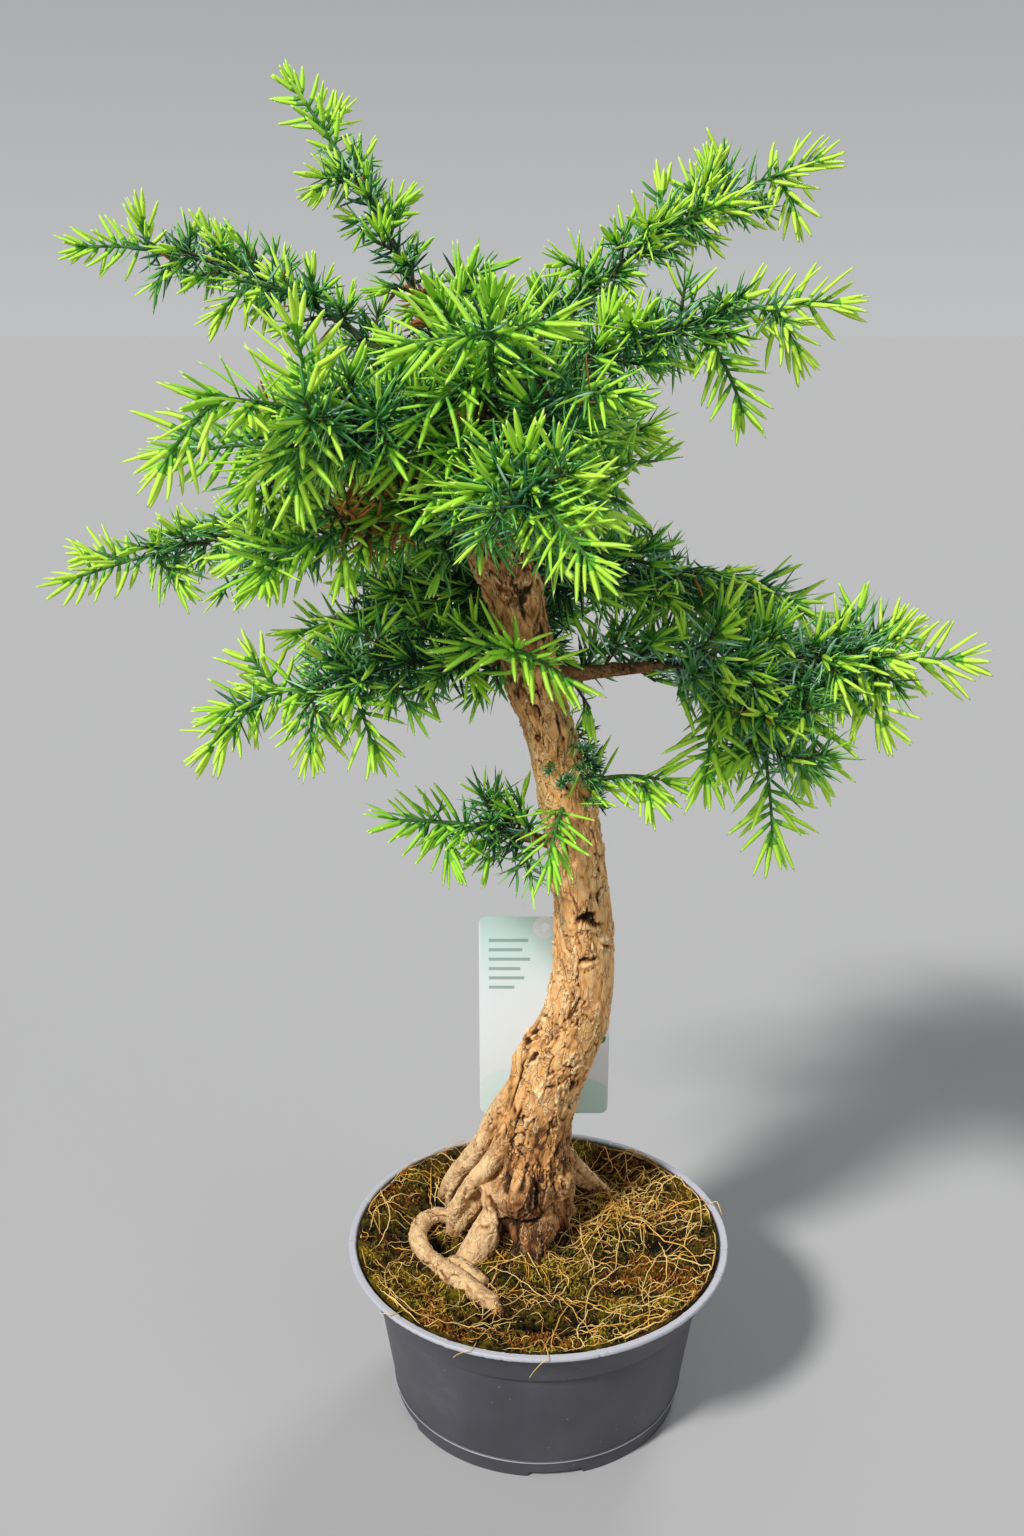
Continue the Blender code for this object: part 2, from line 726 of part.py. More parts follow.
def make_bough(branch, material):
    """The bare limb of a branch, from the trunk's surface to its mass of needles."""
    line = branch_line(branch)
    count = round(branch.bare / PATH_STEP)
    bare_line = resample(line[: count + 1], BOUGH_STEP)
    mesh = tube_mesh("bough_" + branch.name, bare_line, bough_radii(branch, len(bare_line)), BOUGH_SIDES)
    bough = link("bough_" + branch.name, mesh, material)
    cut_clear_of_trunk(bough, material)
    bough.data.shade_smooth()
    bough.data.set_sharp_from_angle(angle=math.radians(BARK_SHARP_ANGLE))


def stem_of(index, branch):
    """The main shoot of a mass: the rest of its branch's line, a gap beyond the bough."""
    line = branch_line(branch)
    first = round(branch.bare / PATH_STEP)
    trim = round(TIP_NEEDLE_LENGTH / PATH_STEP)
    line = line[first:-trim].copy()
    line[0] = line[0] + unit(line[1] - line[0]) * GAP
    return Shoot(index, line, STEM_ROOT_RADIUS)


def side_shoot(index, stem_line, along, heading, rise, length):
    """A side shoot from a point on a mass's stem."""
    start = stem_line[round(along * (len(stem_line) - 1))]
    length = max(SHORTEST_SPUR, length - TIP_NEEDLE_LENGTH)
    steps = round(length / PATH_STEP)
    line = limb_path(start, heading, rise - SPUR_SAG / 2, length, 0.0, SPUR_SAG, steps)
    return Shoot(index, line, SHOOT_ROOT_RADIUS)


def least_distance(points, others):
    """The distance from each point to the nearest of the others."""
    if not len(others):
        return np.full(len(points), np.inf)
    return np.linalg.norm(points[:, None] - others[None], axis=2).min(axis=1)


class Limbs:
    """The lines and radii of the trunk and boughs, to keep shoots and needles off them."""

    def __init__(self):
        fine = smooth_line(TRUNK_LINE, 4 * TRUNK_STEPS_PER_SPAN)
        self.trunk_points = fine[:, :3]
        self.trunk_radii = fine[:, 3] / 2
        points = []
        radii = []
        for branch in BRANCHES:
            count = round(branch.bare / PATH_STEP)
            if count:
                points.append(branch_line(branch)[: count + 1])
                radii.append(bough_radii(branch, count + 1))
        self.bough_points = np.vstack(points)
        self.bough_radii = np.concatenate(radii)

    def room(self, points):
        """How far each point stands off the nearest limb's surface."""
        trunk = np.linalg.norm(points[:, None] - self.trunk_points[None], axis=2) - self.trunk_radii
        bough = np.linalg.norm(points[:, None] - self.bough_points[None], axis=2) - self.bough_radii
        return np.minimum(trunk.min(axis=1), bough.min(axis=1))


def fits(shoot, shoots, limbs, stem):
    """Whether a side shoot stays clear of every limb and of all other shoots, past its root."""
    free = round(SHOOT_ROOT_FREE / PATH_STEP)
    line = shoot.line[free:]
    others = [other.line for other in shoots if other is not stem]
    if least_distance(line, np.vstack(others)).min() < SHOOT_CLEAR:
        return False
    if least_distance(line, stem.line).min() < STEM_CLEAR:
        return False
    return limbs.room(line).min() > SHOOT_CLEAR / 2


def add_spurs(shoots, limbs):
    """The named side shoots of each branch, where there is room for them."""
    stems = list(shoots)
    for index, branch in enumerate(BRANCHES):
        line = branch_line(branch)
        for spur in branch.spurs:
            made = side_shoot(index, line, spur.along, spur.heading, spur.rise, spur.length)
            if fits(made, shoots, limbs, stems[index]):
                shoots.append(made)


def add_fillers(shoots, limbs):
    """Side shoots by a seeded rule: left and right in turn, longer near the root."""
    stems = shoots[: len(BRANCHES)]
    for index, branch in enumerate(BRANCHES):
        draw = random.Random(FILLER_SEED * len(BRANCHES) + index)
        line = branch_line(branch)
        for number in range(branch.fillers):
            side = 1 if (number + index) % 2 else -1
            for _ in range(FILLER_TRIES):
                share = (number + draw.random()) / branch.fillers
                along = FILLER_FIRST + (FILLER_LAST - FILLER_FIRST) * share
                heading = branch.heading + branch.turn * along + side * draw.uniform(*FILLER_TURN)
                rise = (branch.rise + branch.lift * along) / 2 + draw.uniform(*FILLER_DROP)
                length = branch.reach * FILLER_SHARE * (1 - FILLER_TAPER * along)
                length = max(FILLER_SHORTEST, length * draw.uniform(*FILLER_VARY))
                made = side_shoot(index, line, along, heading, rise, length)
                if fits(made, shoots, limbs, stems[index]):
                    shoots.append(made)
                    break


class Space:
    """Which mass each point of the crown belongs to."""

    def __init__(self, shoots, limbs):
        self.limbs = limbs
        self.lines = np.vstack([shoot.line for shoot in shoots])
        self.mass = np.concatenate([[shoot.mass] * len(shoot.line) for shoot in shoots])
        self.shoot = np.concatenate([[i] * len(shoot.line) for i, shoot in enumerate(shoots)])

    def keeps(self, number, mass, roots, tips):
        """For each needle, whether it stays nearest its own mass and clear of limbs and cores."""
        share = np.linspace(0.0, 1.0, NEEDLE_SAMPLES)
        samples = roots[:, None] + (tips - roots)[:, None] * share[None, :, None]
        flat = samples.reshape(-1, 3)
        away = np.linalg.norm(flat[:, None] - self.lines[None], axis=2)
        own = np.where(self.mass == mass, away, np.inf).min(axis=1)
        strange = np.where(self.mass != mass, away, np.inf).min(axis=1)
        sister = np.where((self.mass == mass) & (self.shoot != number), away, np.inf).min(axis=1)
        good = (strange > own + NEEDLE_MARGIN) & (self.limbs.room(flat) > LIMB_MARGIN)
        good = good.reshape(len(roots), -1)
        late = (sister > OWN_CORE_CLEAR).reshape(len(roots), -1)[:, NEEDLE_SAMPLES // 2 :]
        return good.all(axis=1) & late.all(axis=1)


def shoot_mesh(name, number, shoot, space):
    """A three-sided core whose facets are each drawn out into a needle that leans forward."""
    line = resample(shoot.line, NEEDLE_STEP)
    rings = len(line)
    tangent, first, second = frames_along(line)
    share = np.linspace(0.0, 1.0, rings)
    radius = shoot.root_radius * (1 - share) + SHOOT_TIP_RADIUS * share
    turn = np.radians(NEEDLE_TWIST) * (np.arange(rings) + SHOOT_TWIST_SHARE * number)
    angle = turn[:, None] + np.arange(SHOOT_SIDES) * math.tau / SHOOT_SIDES
    spoke = np.cos(angle)[..., None] * first[:, None] + np.sin(angle)[..., None] * second[:, None]
    points = line[:, None] + radius[:, None, None] * spoke

    lower = points[:-1]
    upper = points[1:]
    roots = (lower + np.roll(lower, -1, 1) + upper + np.roll(upper, -1, 1)) / 4
    ahead = (tangent[:-1] + tangent[1:])[:, None] / 2
    middle = (line[:-1] + line[1:])[:, None] / 2
    out = unit(roots - middle)
    middle_share = (share[:-1] + share[1:]) / 2
    lean = np.radians(NEEDLE_SPREAD + (TIP_NEEDLE_SPREAD - NEEDLE_SPREAD) * middle_share**2)[:, None, None]
    length = NEEDLE_LENGTH * (ROOT_NEEDLE_SHARE + (1 - ROOT_NEEDLE_SHARE) * np.minimum(1, 2 * middle_share))
    tips = roots + length[:, None, None] * (np.cos(lean) * ahead + np.sin(lean) * out)
    kept = space.keeps(number, shoot.mass, roots.reshape(-1, 3), tips.reshape(-1, 3))
    kept = kept.reshape(roots.shape[:2])

    vertices = list(points.reshape(-1, 3))
    faces = [tuple(range(SHOOT_SIDES))]
    for ring in range(rings - 1):
        for side in range(SHOOT_SIDES):
            after = (side + 1) % SHOOT_SIDES
            low = ring * SHOOT_SIDES
            corners = (low + side, low + after, low + SHOOT_SIDES + after, low + SHOOT_SIDES + side)
            if kept[ring, side]:
                vertices.append(tips[ring, side])
                apex = len(vertices) - 1
                faces += [(corners[i], corners[(i + 1) % 4], apex) for i in range(4)]
            else:
                faces += [(corners[0], corners[1], corners[2]), (corners[0], corners[2], corners[3])]
    reach = line[-1] + tangent[-1] * TIP_NEEDLE_LENGTH
    if not space.keeps(number, shoot.mass, line[-1:], reach[None])[0]:
        reach = line[-1] + tangent[-1] * BLUNT_TIP_LENGTH
    vertices.append(reach)
    last = (rings - 1) * SHOOT_SIDES
    for side in range(SHOOT_SIDES):
        faces.append((last + side, last + (side + 1) % SHOOT_SIDES, len(vertices) - 1))
    return mesh_from(name, vertices, faces)


def make_foliage(shoots, space, material):
    """One solid for each branch: its main shoot with the side shoots fused on."""
    for index, branch in enumerate(BRANCHES):
        name = "foliage_" + branch.name
        items = []
        for number, shoot in enumerate(shoots):
            if shoot.mass == index:
                label = name if not items else f"{name}_shoot_{len(items)}"
                items.append(link(label, shoot_mesh(label, number, shoot, space), material))
        union(items[0], items[1:])
        if not branch.bare:
            cut_clear_of_trunk(items[0], material)


def main():
    """Builds the pot and what is in it, then the limbs, then the needles round them."""
    clear_scene()
    bark = finish("bark", (0.40, 0.24, 0.12), 0.9)
    needles = finish("needles", (0.10, 0.30, 0.06), 0.55)
    make_pot(finish("pot_plastic", (0.16, 0.16, 0.18), 0.45))
    make_soil(finish("soil", (0.12, 0.09, 0.03), 1.0))
    make_label(finish("label_card", (0.80, 0.84, 0.80), 0.5))
    make_trunk(bark)
    for branch in BRANCHES:
        if branch.bare:
            make_bough(branch, bark)
    limbs = Limbs()
    shoots = [stem_of(index, branch) for index, branch in enumerate(BRANCHES)]
    add_spurs(shoots, limbs)
    add_fillers(shoots, limbs)
    make_foliage(shoots, Space(shoots, limbs), needles)


main()
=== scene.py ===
"""Looks of a hoop pine bonsai in its nursery pot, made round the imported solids.

Metres, +Z up. The origin is the centre of the pot's flat underside, and the plant is seen from
the front along +Y. A heading of 0 degrees points along +X and 90 degrees along +Y, and a rise is
the angle above the level.
"""

import logging
import math
import random
from dataclasses import dataclass, field
from enum import Enum, IntEnum
from typing import Iterable, NamedTuple, Sequence

import bpy
import numpy as np
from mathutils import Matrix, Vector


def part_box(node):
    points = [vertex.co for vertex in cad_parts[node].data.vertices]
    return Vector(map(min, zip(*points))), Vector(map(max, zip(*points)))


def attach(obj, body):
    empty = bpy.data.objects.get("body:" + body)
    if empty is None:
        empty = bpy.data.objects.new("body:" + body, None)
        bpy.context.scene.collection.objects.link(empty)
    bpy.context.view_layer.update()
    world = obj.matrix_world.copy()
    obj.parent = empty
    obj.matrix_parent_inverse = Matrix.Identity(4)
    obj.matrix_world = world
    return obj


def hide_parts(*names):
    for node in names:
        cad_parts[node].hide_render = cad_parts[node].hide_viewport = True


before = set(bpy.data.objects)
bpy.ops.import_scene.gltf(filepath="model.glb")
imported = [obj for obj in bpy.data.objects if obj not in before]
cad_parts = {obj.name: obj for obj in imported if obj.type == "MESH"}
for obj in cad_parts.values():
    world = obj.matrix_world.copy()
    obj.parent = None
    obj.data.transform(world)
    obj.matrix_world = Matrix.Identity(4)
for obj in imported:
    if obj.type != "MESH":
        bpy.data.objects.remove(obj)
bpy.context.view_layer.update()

LOG = logging.getLogger("bonsai")

Array = np.ndarray
Color = tuple[float, float, float]
GOLDEN_ANGLE = math.radians(137.508)


# Shader maths


class Field:
    """A node's output socket, with arithmetic that adds Math nodes to its tree."""

    def __init__(self, graph: "Graph", socket: bpy.types.NodeSocket) -> None:
        """Wraps a socket.

        Args:
            graph: The node tree's owner.
            socket: The output socket.
        """
        self.graph = graph
        self.socket = socket

    def math(self, operation: str, *others: "Field | float") -> "Field":
        """Adds a Math node.

        Args:
            operation: The Math node's operation.
            others: The values or fields that follow this one.

        Returns:
            The node's result.
        """
        values = {number: value for number, value in enumerate((self, *others))}
        return self.graph.out(self.graph.node("ShaderNodeMath", {"operation": operation}, values))

    def __add__(self, other: "Field | float") -> "Field":
        """The sum."""
        return self.math("ADD", other)

    __radd__ = __add__

    def __sub__(self, other: "Field | float") -> "Field":
        """The difference."""
        return self.math("SUBTRACT", other)

    def __rsub__(self, other: float) -> "Field":
        """A number less this field."""
        return self.math("MULTIPLY", -1.0) + other

    def __mul__(self, other: "Field | float") -> "Field":
        """The product."""
        return self.math("MULTIPLY", other)

    __rmul__ = __mul__

    def rise(self, low: float, high: float) -> "Field":
        """A smooth step.

        Args:
            low: Where the step starts, at 0.
            high: Where it ends, at 1. Below low, the step falls.

        Returns:
            The step as a field from 0 to 1.
        """
        settings = {"interpolation_type": "SMOOTHSTEP"}
        inputs = {"Value": self, "From Min": low, "From Max": high}
        return self.graph.out(self.graph.node("ShaderNodeMapRange", settings, inputs))


class Graph:
    """The node tree of one material."""

    def __init__(self, name: str) -> None:
        """Starts an empty tree.

        Args:
            name: The material's name.
        """
        self.material = bpy.data.materials.new(name)
        self.material.use_nodes = True
        self.tree = self.material.node_tree
        self.tree.nodes.clear()

    def node(self, kind: str, settings: dict, inputs: dict) -> bpy.types.Node:
        """Adds a node.

        Args:
            kind: The node's type.
            settings: Its own settings, set first. A ramp's stops are pairs of place and colour.
            inputs: The values or fields of its sockets, by name or number.

        Returns:
            The node.
        """
        made = self.tree.nodes.new(kind)
        for name, value in settings.items():
            if name == "stops":
                self._set_stops(made.color_ramp, value)
            else:
                setattr(made, name, value)
        for name, value in inputs.items():
            if isinstance(value, Field):
                self.tree.links.new(value.socket, made.inputs[name])
            else:
                made.inputs[name].default_value = value
        return made

    @staticmethod
    def _set_stops(ramp: bpy.types.ColorRamp, stops: Sequence[tuple[float, Color]]) -> None:
        """Gives a colour ramp its stops."""
        while len(ramp.elements) < len(stops):
            ramp.elements.new(0.5)
        for element, (place, color) in zip(ramp.elements, stops):
            element.position = place
            element.color = (*color, 1.0)

    def out(self, node: bpy.types.Node, name: str | int = 0) -> Field:
        """A node's output as a field."""
        return Field(self, node.outputs[name])

    def place(self, stretch: Color = (1.0, 1.0, 1.0)) -> Field:
        """The object's own coordinates, stretched along each axis."""
        found = self.out(self.node("ShaderNodeTexCoord", {}, {}), "Object")
        return self.out(self.node("ShaderNodeVectorMath", {"operation": "MULTIPLY"}, {0: found, 1: stretch}))

    def axes(self) -> tuple[Field, Field, Field]:
        """The object's own x, y and z."""
        split = self.node("ShaderNodeSeparateXYZ", {}, {0: self.place()})
        return self.out(split, 0), self.out(split, 1), self.out(split, 2)

    def attribute(self, name: str) -> Field:
        """A number stored on the mesh's points."""
        return self.out(self.node("ShaderNodeAttribute", {"attribute_name": name}, {}), "Fac")

    def noise(self, where: Field, scale: float, detail: float = 3.0, rough: float = 0.55) -> Field:
        """Fractal noise from 0 to 1, at a scale in cycles a metre."""
        inputs = {"Vector": where, "Scale": scale, "Detail": detail, "Roughness": rough}
        return self.out(self.node("ShaderNodeTexNoise", {}, inputs), 0)

    def dots(self, where: Field, scale: float) -> Field:
        """The distance to the nearest of many scattered points, in cells."""
        return self.out(self.node("ShaderNodeTexVoronoi", {}, {"Vector": where, "Scale": scale}), "Distance")

    def ramp(self, amount: Field, stops: Sequence[tuple[float, Color]]) -> Field:
        """A colour looked up by a number."""
        return self.out(self.node("ShaderNodeValToRGB", {"stops": stops}, {0: amount}))

    def mix(self, amount: Field | float, first: Field | Color, second: Field | Color) -> Field:
        """Two colours mixed.

        Args:
            amount: 0 for the first colour, 1 for the second.
            first: A colour or a field of colours.
            second: The same.

        Returns:
            The mixed colour.
        """
        pair = [value if isinstance(value, Field) else (*value, 1.0) for value in (first, second)]
        inputs = {0: amount, 6: pair[0], 7: pair[1]}
        return self.out(self.node("ShaderNodeMix", {"data_type": "RGBA"}, inputs), 2)

    def bump(self, height: Field, depth: float, strength: float = 1.0) -> Field:
        """A normal from a height field whose full range is a depth in metres."""
        inputs = {"Height": height, "Distance": depth, "Strength": strength}
        return self.out(self.node("ShaderNodeBump", {}, inputs))

    def surface(self, **sockets: Field | float | Color) -> bpy.types.Material:
        """Ends the tree in a Principled shader.

        Args:
            sockets: The shader's sockets by name, with _ for a space.

        Returns:
            The material.
        """
        inputs = {name.replace("_", " "): value for name, value in sockets.items()}
        color = inputs["Base Color"]
        if not isinstance(color, Field):
            inputs["Base Color"] = (*color, 1.0)
        shader = self.out(self.node("ShaderNodeBsdfPrincipled", {}, inputs))
        self.node("ShaderNodeOutputMaterial", {}, {"Surface": shader})
        return self.material


# Finishes


@dataclass(frozen=True)
class NeedleWax:
    """The skin of a needle: one plain colour, with a shine that varies a little."""

    name: str
    color: Color
    rough: float = 0.42
    through: float = 0.0

    def material(self) -> bpy.types.Material:
        """The finish as a material."""
        graph = Graph(self.name)
        patches = graph.noise(graph.place(), 900.0)
        return graph.surface(
            Base_Color=self.color,
            Roughness=self.rough + 0.25 * patches,
            Specular_IOR_Level=0.35,
            Subsurface_Weight=self.through,
            Subsurface_Radius=(0.002, 0.003, 0.001),
            Subsurface_Scale=0.4,
        )


@dataclass(frozen=True)
class FlakyBark:
    """Bark whose colour follows the mesh's relief, from dark cracks to pale flakes: partly its own tones,
    partly painted shade in the low places and painted highlight on the raised ones.
    """

    name: str
    crack: Color
    hollow: Color
    body: Color
    flake: Color
    warm: Color
    cream: Color
    fiber_scale: float = 700.0
    vein_scale: float = 240.0

    def material(self) -> bpy.types.Material:
        """The finish as a material."""
        graph = Graph(self.name)
        relief = graph.attribute("relief")
        vein = graph.noise(graph.place((1.0, 1.0, 0.42)), self.vein_scale, 2.0, 0.5)
        warmth = graph.attribute("warmth")
        fiber = graph.noise(graph.place((1.0, 1.0, 0.3)), self.fiber_scale, 5.0, 0.65)
        patch = graph.noise(graph.place((1.0, 1.0, 0.6)), 90.0, 4.0, 0.6)
        level = relief + 0.20 * (fiber - 0.5) + 0.14 * (patch - 0.5)
        stops = ((0.0, self.crack), (0.24, self.hollow), (0.52, self.body), (1.0, self.flake))
        cream = graph.mix(level.rise(0.05, 0.75), self.hollow, self.cream)
        color = graph.mix(patch.rise(0.50, 0.72) * 0.40, graph.ramp(level, stops), cream)
        color = graph.mix(graph.attribute("pale") * 0.85, color, cream)
        warm = graph.mix(level.rise(0.10, 0.80), self.crack, self.warm)
        color = graph.mix(warmth * patch.rise(0.15, 0.50) * 0.85, color, warm)
        broken = patch.rise(0.38, 0.52)
        # Curl lightens a thin line along each small curled ridge as a painted highlight; the crease darkens
        # the line beside it as painted shadow.
        curl = vein.rise(0.502, 0.524) * vein.rise(0.566, 0.536) * broken
        painted_crease_shadow = vein.rise(0.458, 0.490) * vein.rise(0.516, 0.496) * broken
        painted_crease_shadow = painted_crease_shadow * (graph.attribute("pale") * -0.80 + 1.0)
        color = graph.mix(curl * 0.45, color, self.flake)
        color = graph.mix(painted_crease_shadow * 0.42, color, self.hollow)
        # The lowest relief is darkened toward the crack colour: painted shade in the cracks and pits, over
        # their own darker bark.
        deep = relief.rise(0.36, 0.08) * (graph.attribute("pale") * -0.45 + 0.7)
        color = graph.mix(deep, color, self.crack)
        return graph.surface(
            Base_Color=color,
            Roughness=0.78 + 0.2 * fiber,
            Specular_IOR_Level=0.25,
            Normal=graph.bump(fiber * 0.5 + patch * 0.3 + curl * 0.6 - painted_crease_shadow * 0.8, 0.0012, 0.8),
        )


@dataclass(frozen=True)
class TwigSkin:
    """The skin of a twig, brown or green, with fine scales."""

    name: str
    color: Color
    shade: Color

    def material(self) -> bpy.types.Material:
        """The finish as a material."""
        graph = Graph(self.name)
        scales = graph.noise(graph.place(), 1100.0, 3.0)
        color = graph.mix(scales.rise(0.35, 0.7), self.shade, self.color)
        return graph.surface(Base_Color=color, Roughness=0.75, Normal=graph.bump(scales, 0.0006))


@dataclass(frozen=True)
class PotPlastic:
    """Grey moulded plastic with faint mottling, dust specks and fine scratches."""

    color: Color = (0.052, 0.051, 0.063)
    pale: Color = (0.108, 0.107, 0.128)
    # The lip colour: paler worn plastic with a painted highlight on it.
    lip: Color = (0.600, 0.600, 0.670)
    dust: Color = (0.42, 0.40, 0.38)

    def material(self) -> bpy.types.Material:
        """The finish as a material."""
        graph = Graph("pot_plastic")
        cloud = graph.noise(graph.place(), 24.0, 4.0)
        grain = graph.noise(graph.place(), 2600.0, 2.0)
        scratch = graph.noise(graph.place((1.0, 1.0, 14.0)), 120.0, 1.0)
        line = scratch.rise(0.490, 0.500) * scratch.rise(0.510, 0.500) * cloud.rise(0.58, 0.66)
        speck = graph.dots(graph.place(), 120.0).rise(0.055, 0.035)
        color = graph.mix(cloud.rise(0.3, 0.8) * 0.5, self.color, self.pale)
        # The edge attribute mixes in the lip colour: on the lip as wear with a painted highlight, on the
        # ridge line as a painted highlight, and on the inside wall above the soil as painted light against
        # its shade.
        color = graph.mix(graph.attribute("edge"), color, self.lip)
        color = graph.mix(line * 0.35, color, self.dust)
        color = graph.mix(speck * 0.45, color, self.dust)
        return graph.surface(
            Base_Color=color,
            Roughness=0.40 + 0.14 * cloud + 0.12 * speck,
            Normal=graph.bump(grain, 0.00025, 0.5),
        )


@dataclass(frozen=True)
class Moss:
    """Matted moss: olive, yellow-green and brown in patches, darker where it dips as painted shade and
    brighter on its lumps, partly as a painted highlight.
    """

    dark: Color = (0.004, 0.002, 0.001)
    olive: Color = (0.044, 0.031, 0.002)
    bright: Color = (0.210, 0.150, 0.008)
    brown: Color = (0.200, 0.078, 0.012)

    def material(self) -> bpy.types.Material:
        """The finish as a material."""
        graph = Graph("moss_bed")
        fine = graph.noise(graph.place(), 900.0, 4.0, 0.7)
        patch = graph.noise(graph.place(), 45.0, 3.0, 0.6)
        rust = graph.noise(graph.place(), 28.0, 2.0).rise(0.50, 0.66)
        # Low relief takes the dark colour as painted shade, and high relief the bright colour, partly as a
        # painted highlight.
        level = graph.attribute("relief") * 0.8 + (fine - 0.5) * 0.7 + (patch - 0.5) * 0.5
        color = graph.ramp(level, ((0.0, self.dark), (0.45, self.olive), (0.95, self.bright)))
        color = graph.mix(rust * 0.40, color, self.brown)
        return graph.surface(
            Base_Color=color,
            Roughness=0.95,
            Specular_IOR_Level=0.15,
            Normal=graph.bump(fine, 0.0018),
        )


@dataclass(frozen=True)
class Straw:
    """Dry root fibre, in one tone with faint bands."""

    name: str
    color: Color

    def material(self) -> bpy.types.Material:
        """The finish as a material."""
        graph = Graph(self.name)
        bands = graph.noise(graph.place(), 500.0, 2.0)
        return graph.surface(Base_Color=self.color, Roughness=0.55 + 0.3 * bands, Specular_IOR_Level=0.3)


@dataclass(frozen=True)
class PrintedCard:
    """The plant label's plain design: mint above, white in the middle, mint hills below.

    The places are measured from the card's centre, in metres.
    """

    centre_x: float
    centre_z: float
    half_width: float
    half_height: float
    mint: Color = (0.58, 0.87, 0.82)
    pale: Color = (0.76, 0.94, 0.92)
    white: Color = (0.865, 0.940, 0.990)
    ink: Color = (0.16, 0.30, 0.28)
    leaf: Color = (0.03, 0.26, 0.03)
    margin: float = 0.0285
    bars: tuple[float, ...] = (0.020, 0.017, 0.021, 0.016, 0.018, 0.013)
    first_bar: float = 0.043
    bar_pitch: float = 0.0052

    def material(self) -> bpy.types.Material:
        """The finish as a material."""
        graph = Graph("label_card")
        x, _, z = graph.axes()
        x = x - self.centre_x
        z = z - self.centre_z
        top = z.rise(0.004, self.half_height)
        color = graph.mix(top * 0.75, self.white, self.mint)
        hills = ((-0.020, -0.046, 0.021, self.pale), (0.016, -0.050, 0.027, self.mint))
        for hill_x, low, wide, tint in hills:
            across = (x - hill_x) * (1 / wide)
            crest = across * across * -0.016 + low + 0.016
            color = graph.mix((z - crest).rise(0.0004, -0.0004) * 0.85, color, tint)
        for number, length in enumerate(self.bars):
            bar_z = self.first_bar - number * self.bar_pitch
            bar = (z - bar_z).math("ABSOLUTE").rise(0.00095, 0.00075)
            span = (x + self.margin).rise(-0.0001, 0.0001) * (x + self.margin - length).rise(0.0001, -0.0001)
            color = graph.mix(bar * span * 0.7, color, self.ink)
        dot = (x - self.margin) * (x - self.margin) + (z + 0.012) * (z + 0.012)
        color = graph.mix(dot.rise(0.0034**2, 0.0032**2), color, self.leaf)
        tab = x * x + (z - (self.half_height - 0.0055)) * (z - (self.half_height - 0.0055))
        color = graph.mix(tab.rise(0.0062**2, 0.0060**2), color, self.white)
        rim = (x.math("ABSOLUTE") - (self.half_width - 0.0009)).rise(-0.0001, 0.0001)
        color = graph.mix(rim, color, self.white)
        ripple = graph.noise(graph.place(), 60.0, 2.0)
        return graph.surface(
            Base_Color=color,
            Roughness=0.28 + 0.12 * ripple,
            Normal=graph.bump(ripple, 0.0004, 0.3),
        )


@dataclass(frozen=True)
class FloorPaint:
    """A plain pale floor, very slightly uneven."""

    color: Color = (0.46, 0.46, 0.465)

    def material(self) -> bpy.types.Material:
        """The finish as a material."""
        graph = Graph("floor_paint")
        cloud = graph.noise(graph.place(), 3.0, 2.0)
        return graph.surface(Base_Color=self.color, Roughness=0.8 + 0.1 * cloud, Specular_IOR_Level=0.0)


# Meshes from arrays


class Shape:
    """Points, faces and their tones, gathered for one mesh."""

    def __init__(self) -> None:
        """Starts with nothing."""
        self.points: list[Array] = []
        self.faces: list[Array] = []
        self.tones: list[Array] = []
        self.fields: dict[str, list[Array]] = {}
        self.count = 0

    def add(self, points: Array, groups: Iterable[tuple[Array, int | Array]], **fields: Array) -> None:
        """Adds points and the faces between them.

        Args:
            points: One row of x, y and z a point.
            groups: Pairs of faces, three or four point numbers a row, and their tones.
            fields: A number for each point, by attribute name.
        """
        for faces, tone in groups:
            self.faces.append(faces.reshape(-1, faces.shape[-1]) + self.count)
            self.tones.append(np.broadcast_to(tone, faces.shape[:-1]).ravel())
        self.points.append(points.reshape(-1, 3))
        for name, values in fields.items():
            self.fields.setdefault(name, []).append(np.broadcast_to(values, len(self.points[-1])))
        self.count += len(self.points[-1])

    def triangles(self) -> int:
        """How many triangles the faces make."""
        return int(sum(len(faces) * (faces.shape[1] - 2) for faces in self.faces))

    def build(self, name: str, materials: Sequence[bpy.types.Material],
              smooth: bool = True) -> bpy.types.Object:
        """Makes the mesh and its object.

        Args:
            name: The piece's name.
            materials: One for each tone.
            smooth: Whether the faces are shaded as one smooth surface.

        Returns:
            The object, at the origin.
        """
        mesh = bpy.data.meshes.new(name)
        points = np.vstack(self.points).astype(np.float32)
        sizes = np.concatenate([np.full(len(faces), faces.shape[1], np.int32) for faces in self.faces])
        corners = np.concatenate([faces.ravel() for faces in self.faces]).astype(np.int32)
        mesh.vertices.add(len(points))
        mesh.vertices.foreach_set("co", points.ravel())
        mesh.loops.add(len(corners))
        mesh.loops.foreach_set("vertex_index", corners)
        mesh.polygons.add(len(sizes))
        mesh.polygons.foreach_set("loop_start", (np.cumsum(sizes) - sizes).astype(np.int32))
        mesh.polygons.foreach_set("material_index", np.concatenate(self.tones).astype(np.int32))
        mesh.polygons.foreach_set("use_smooth", np.full(len(sizes), smooth))
        for key, values in self.fields.items():
            layer = mesh.attributes.new(key, "FLOAT", "POINT")
            layer.data.foreach_set("value", np.concatenate(values).astype(np.float32))
        mesh.update(calc_edges=True)
        mesh.validate()
        for material in materials:
            mesh.materials.append(material)
        piece = bpy.data.objects.new(name, mesh)
        bpy.context.scene.collection.objects.link(piece)
        return piece


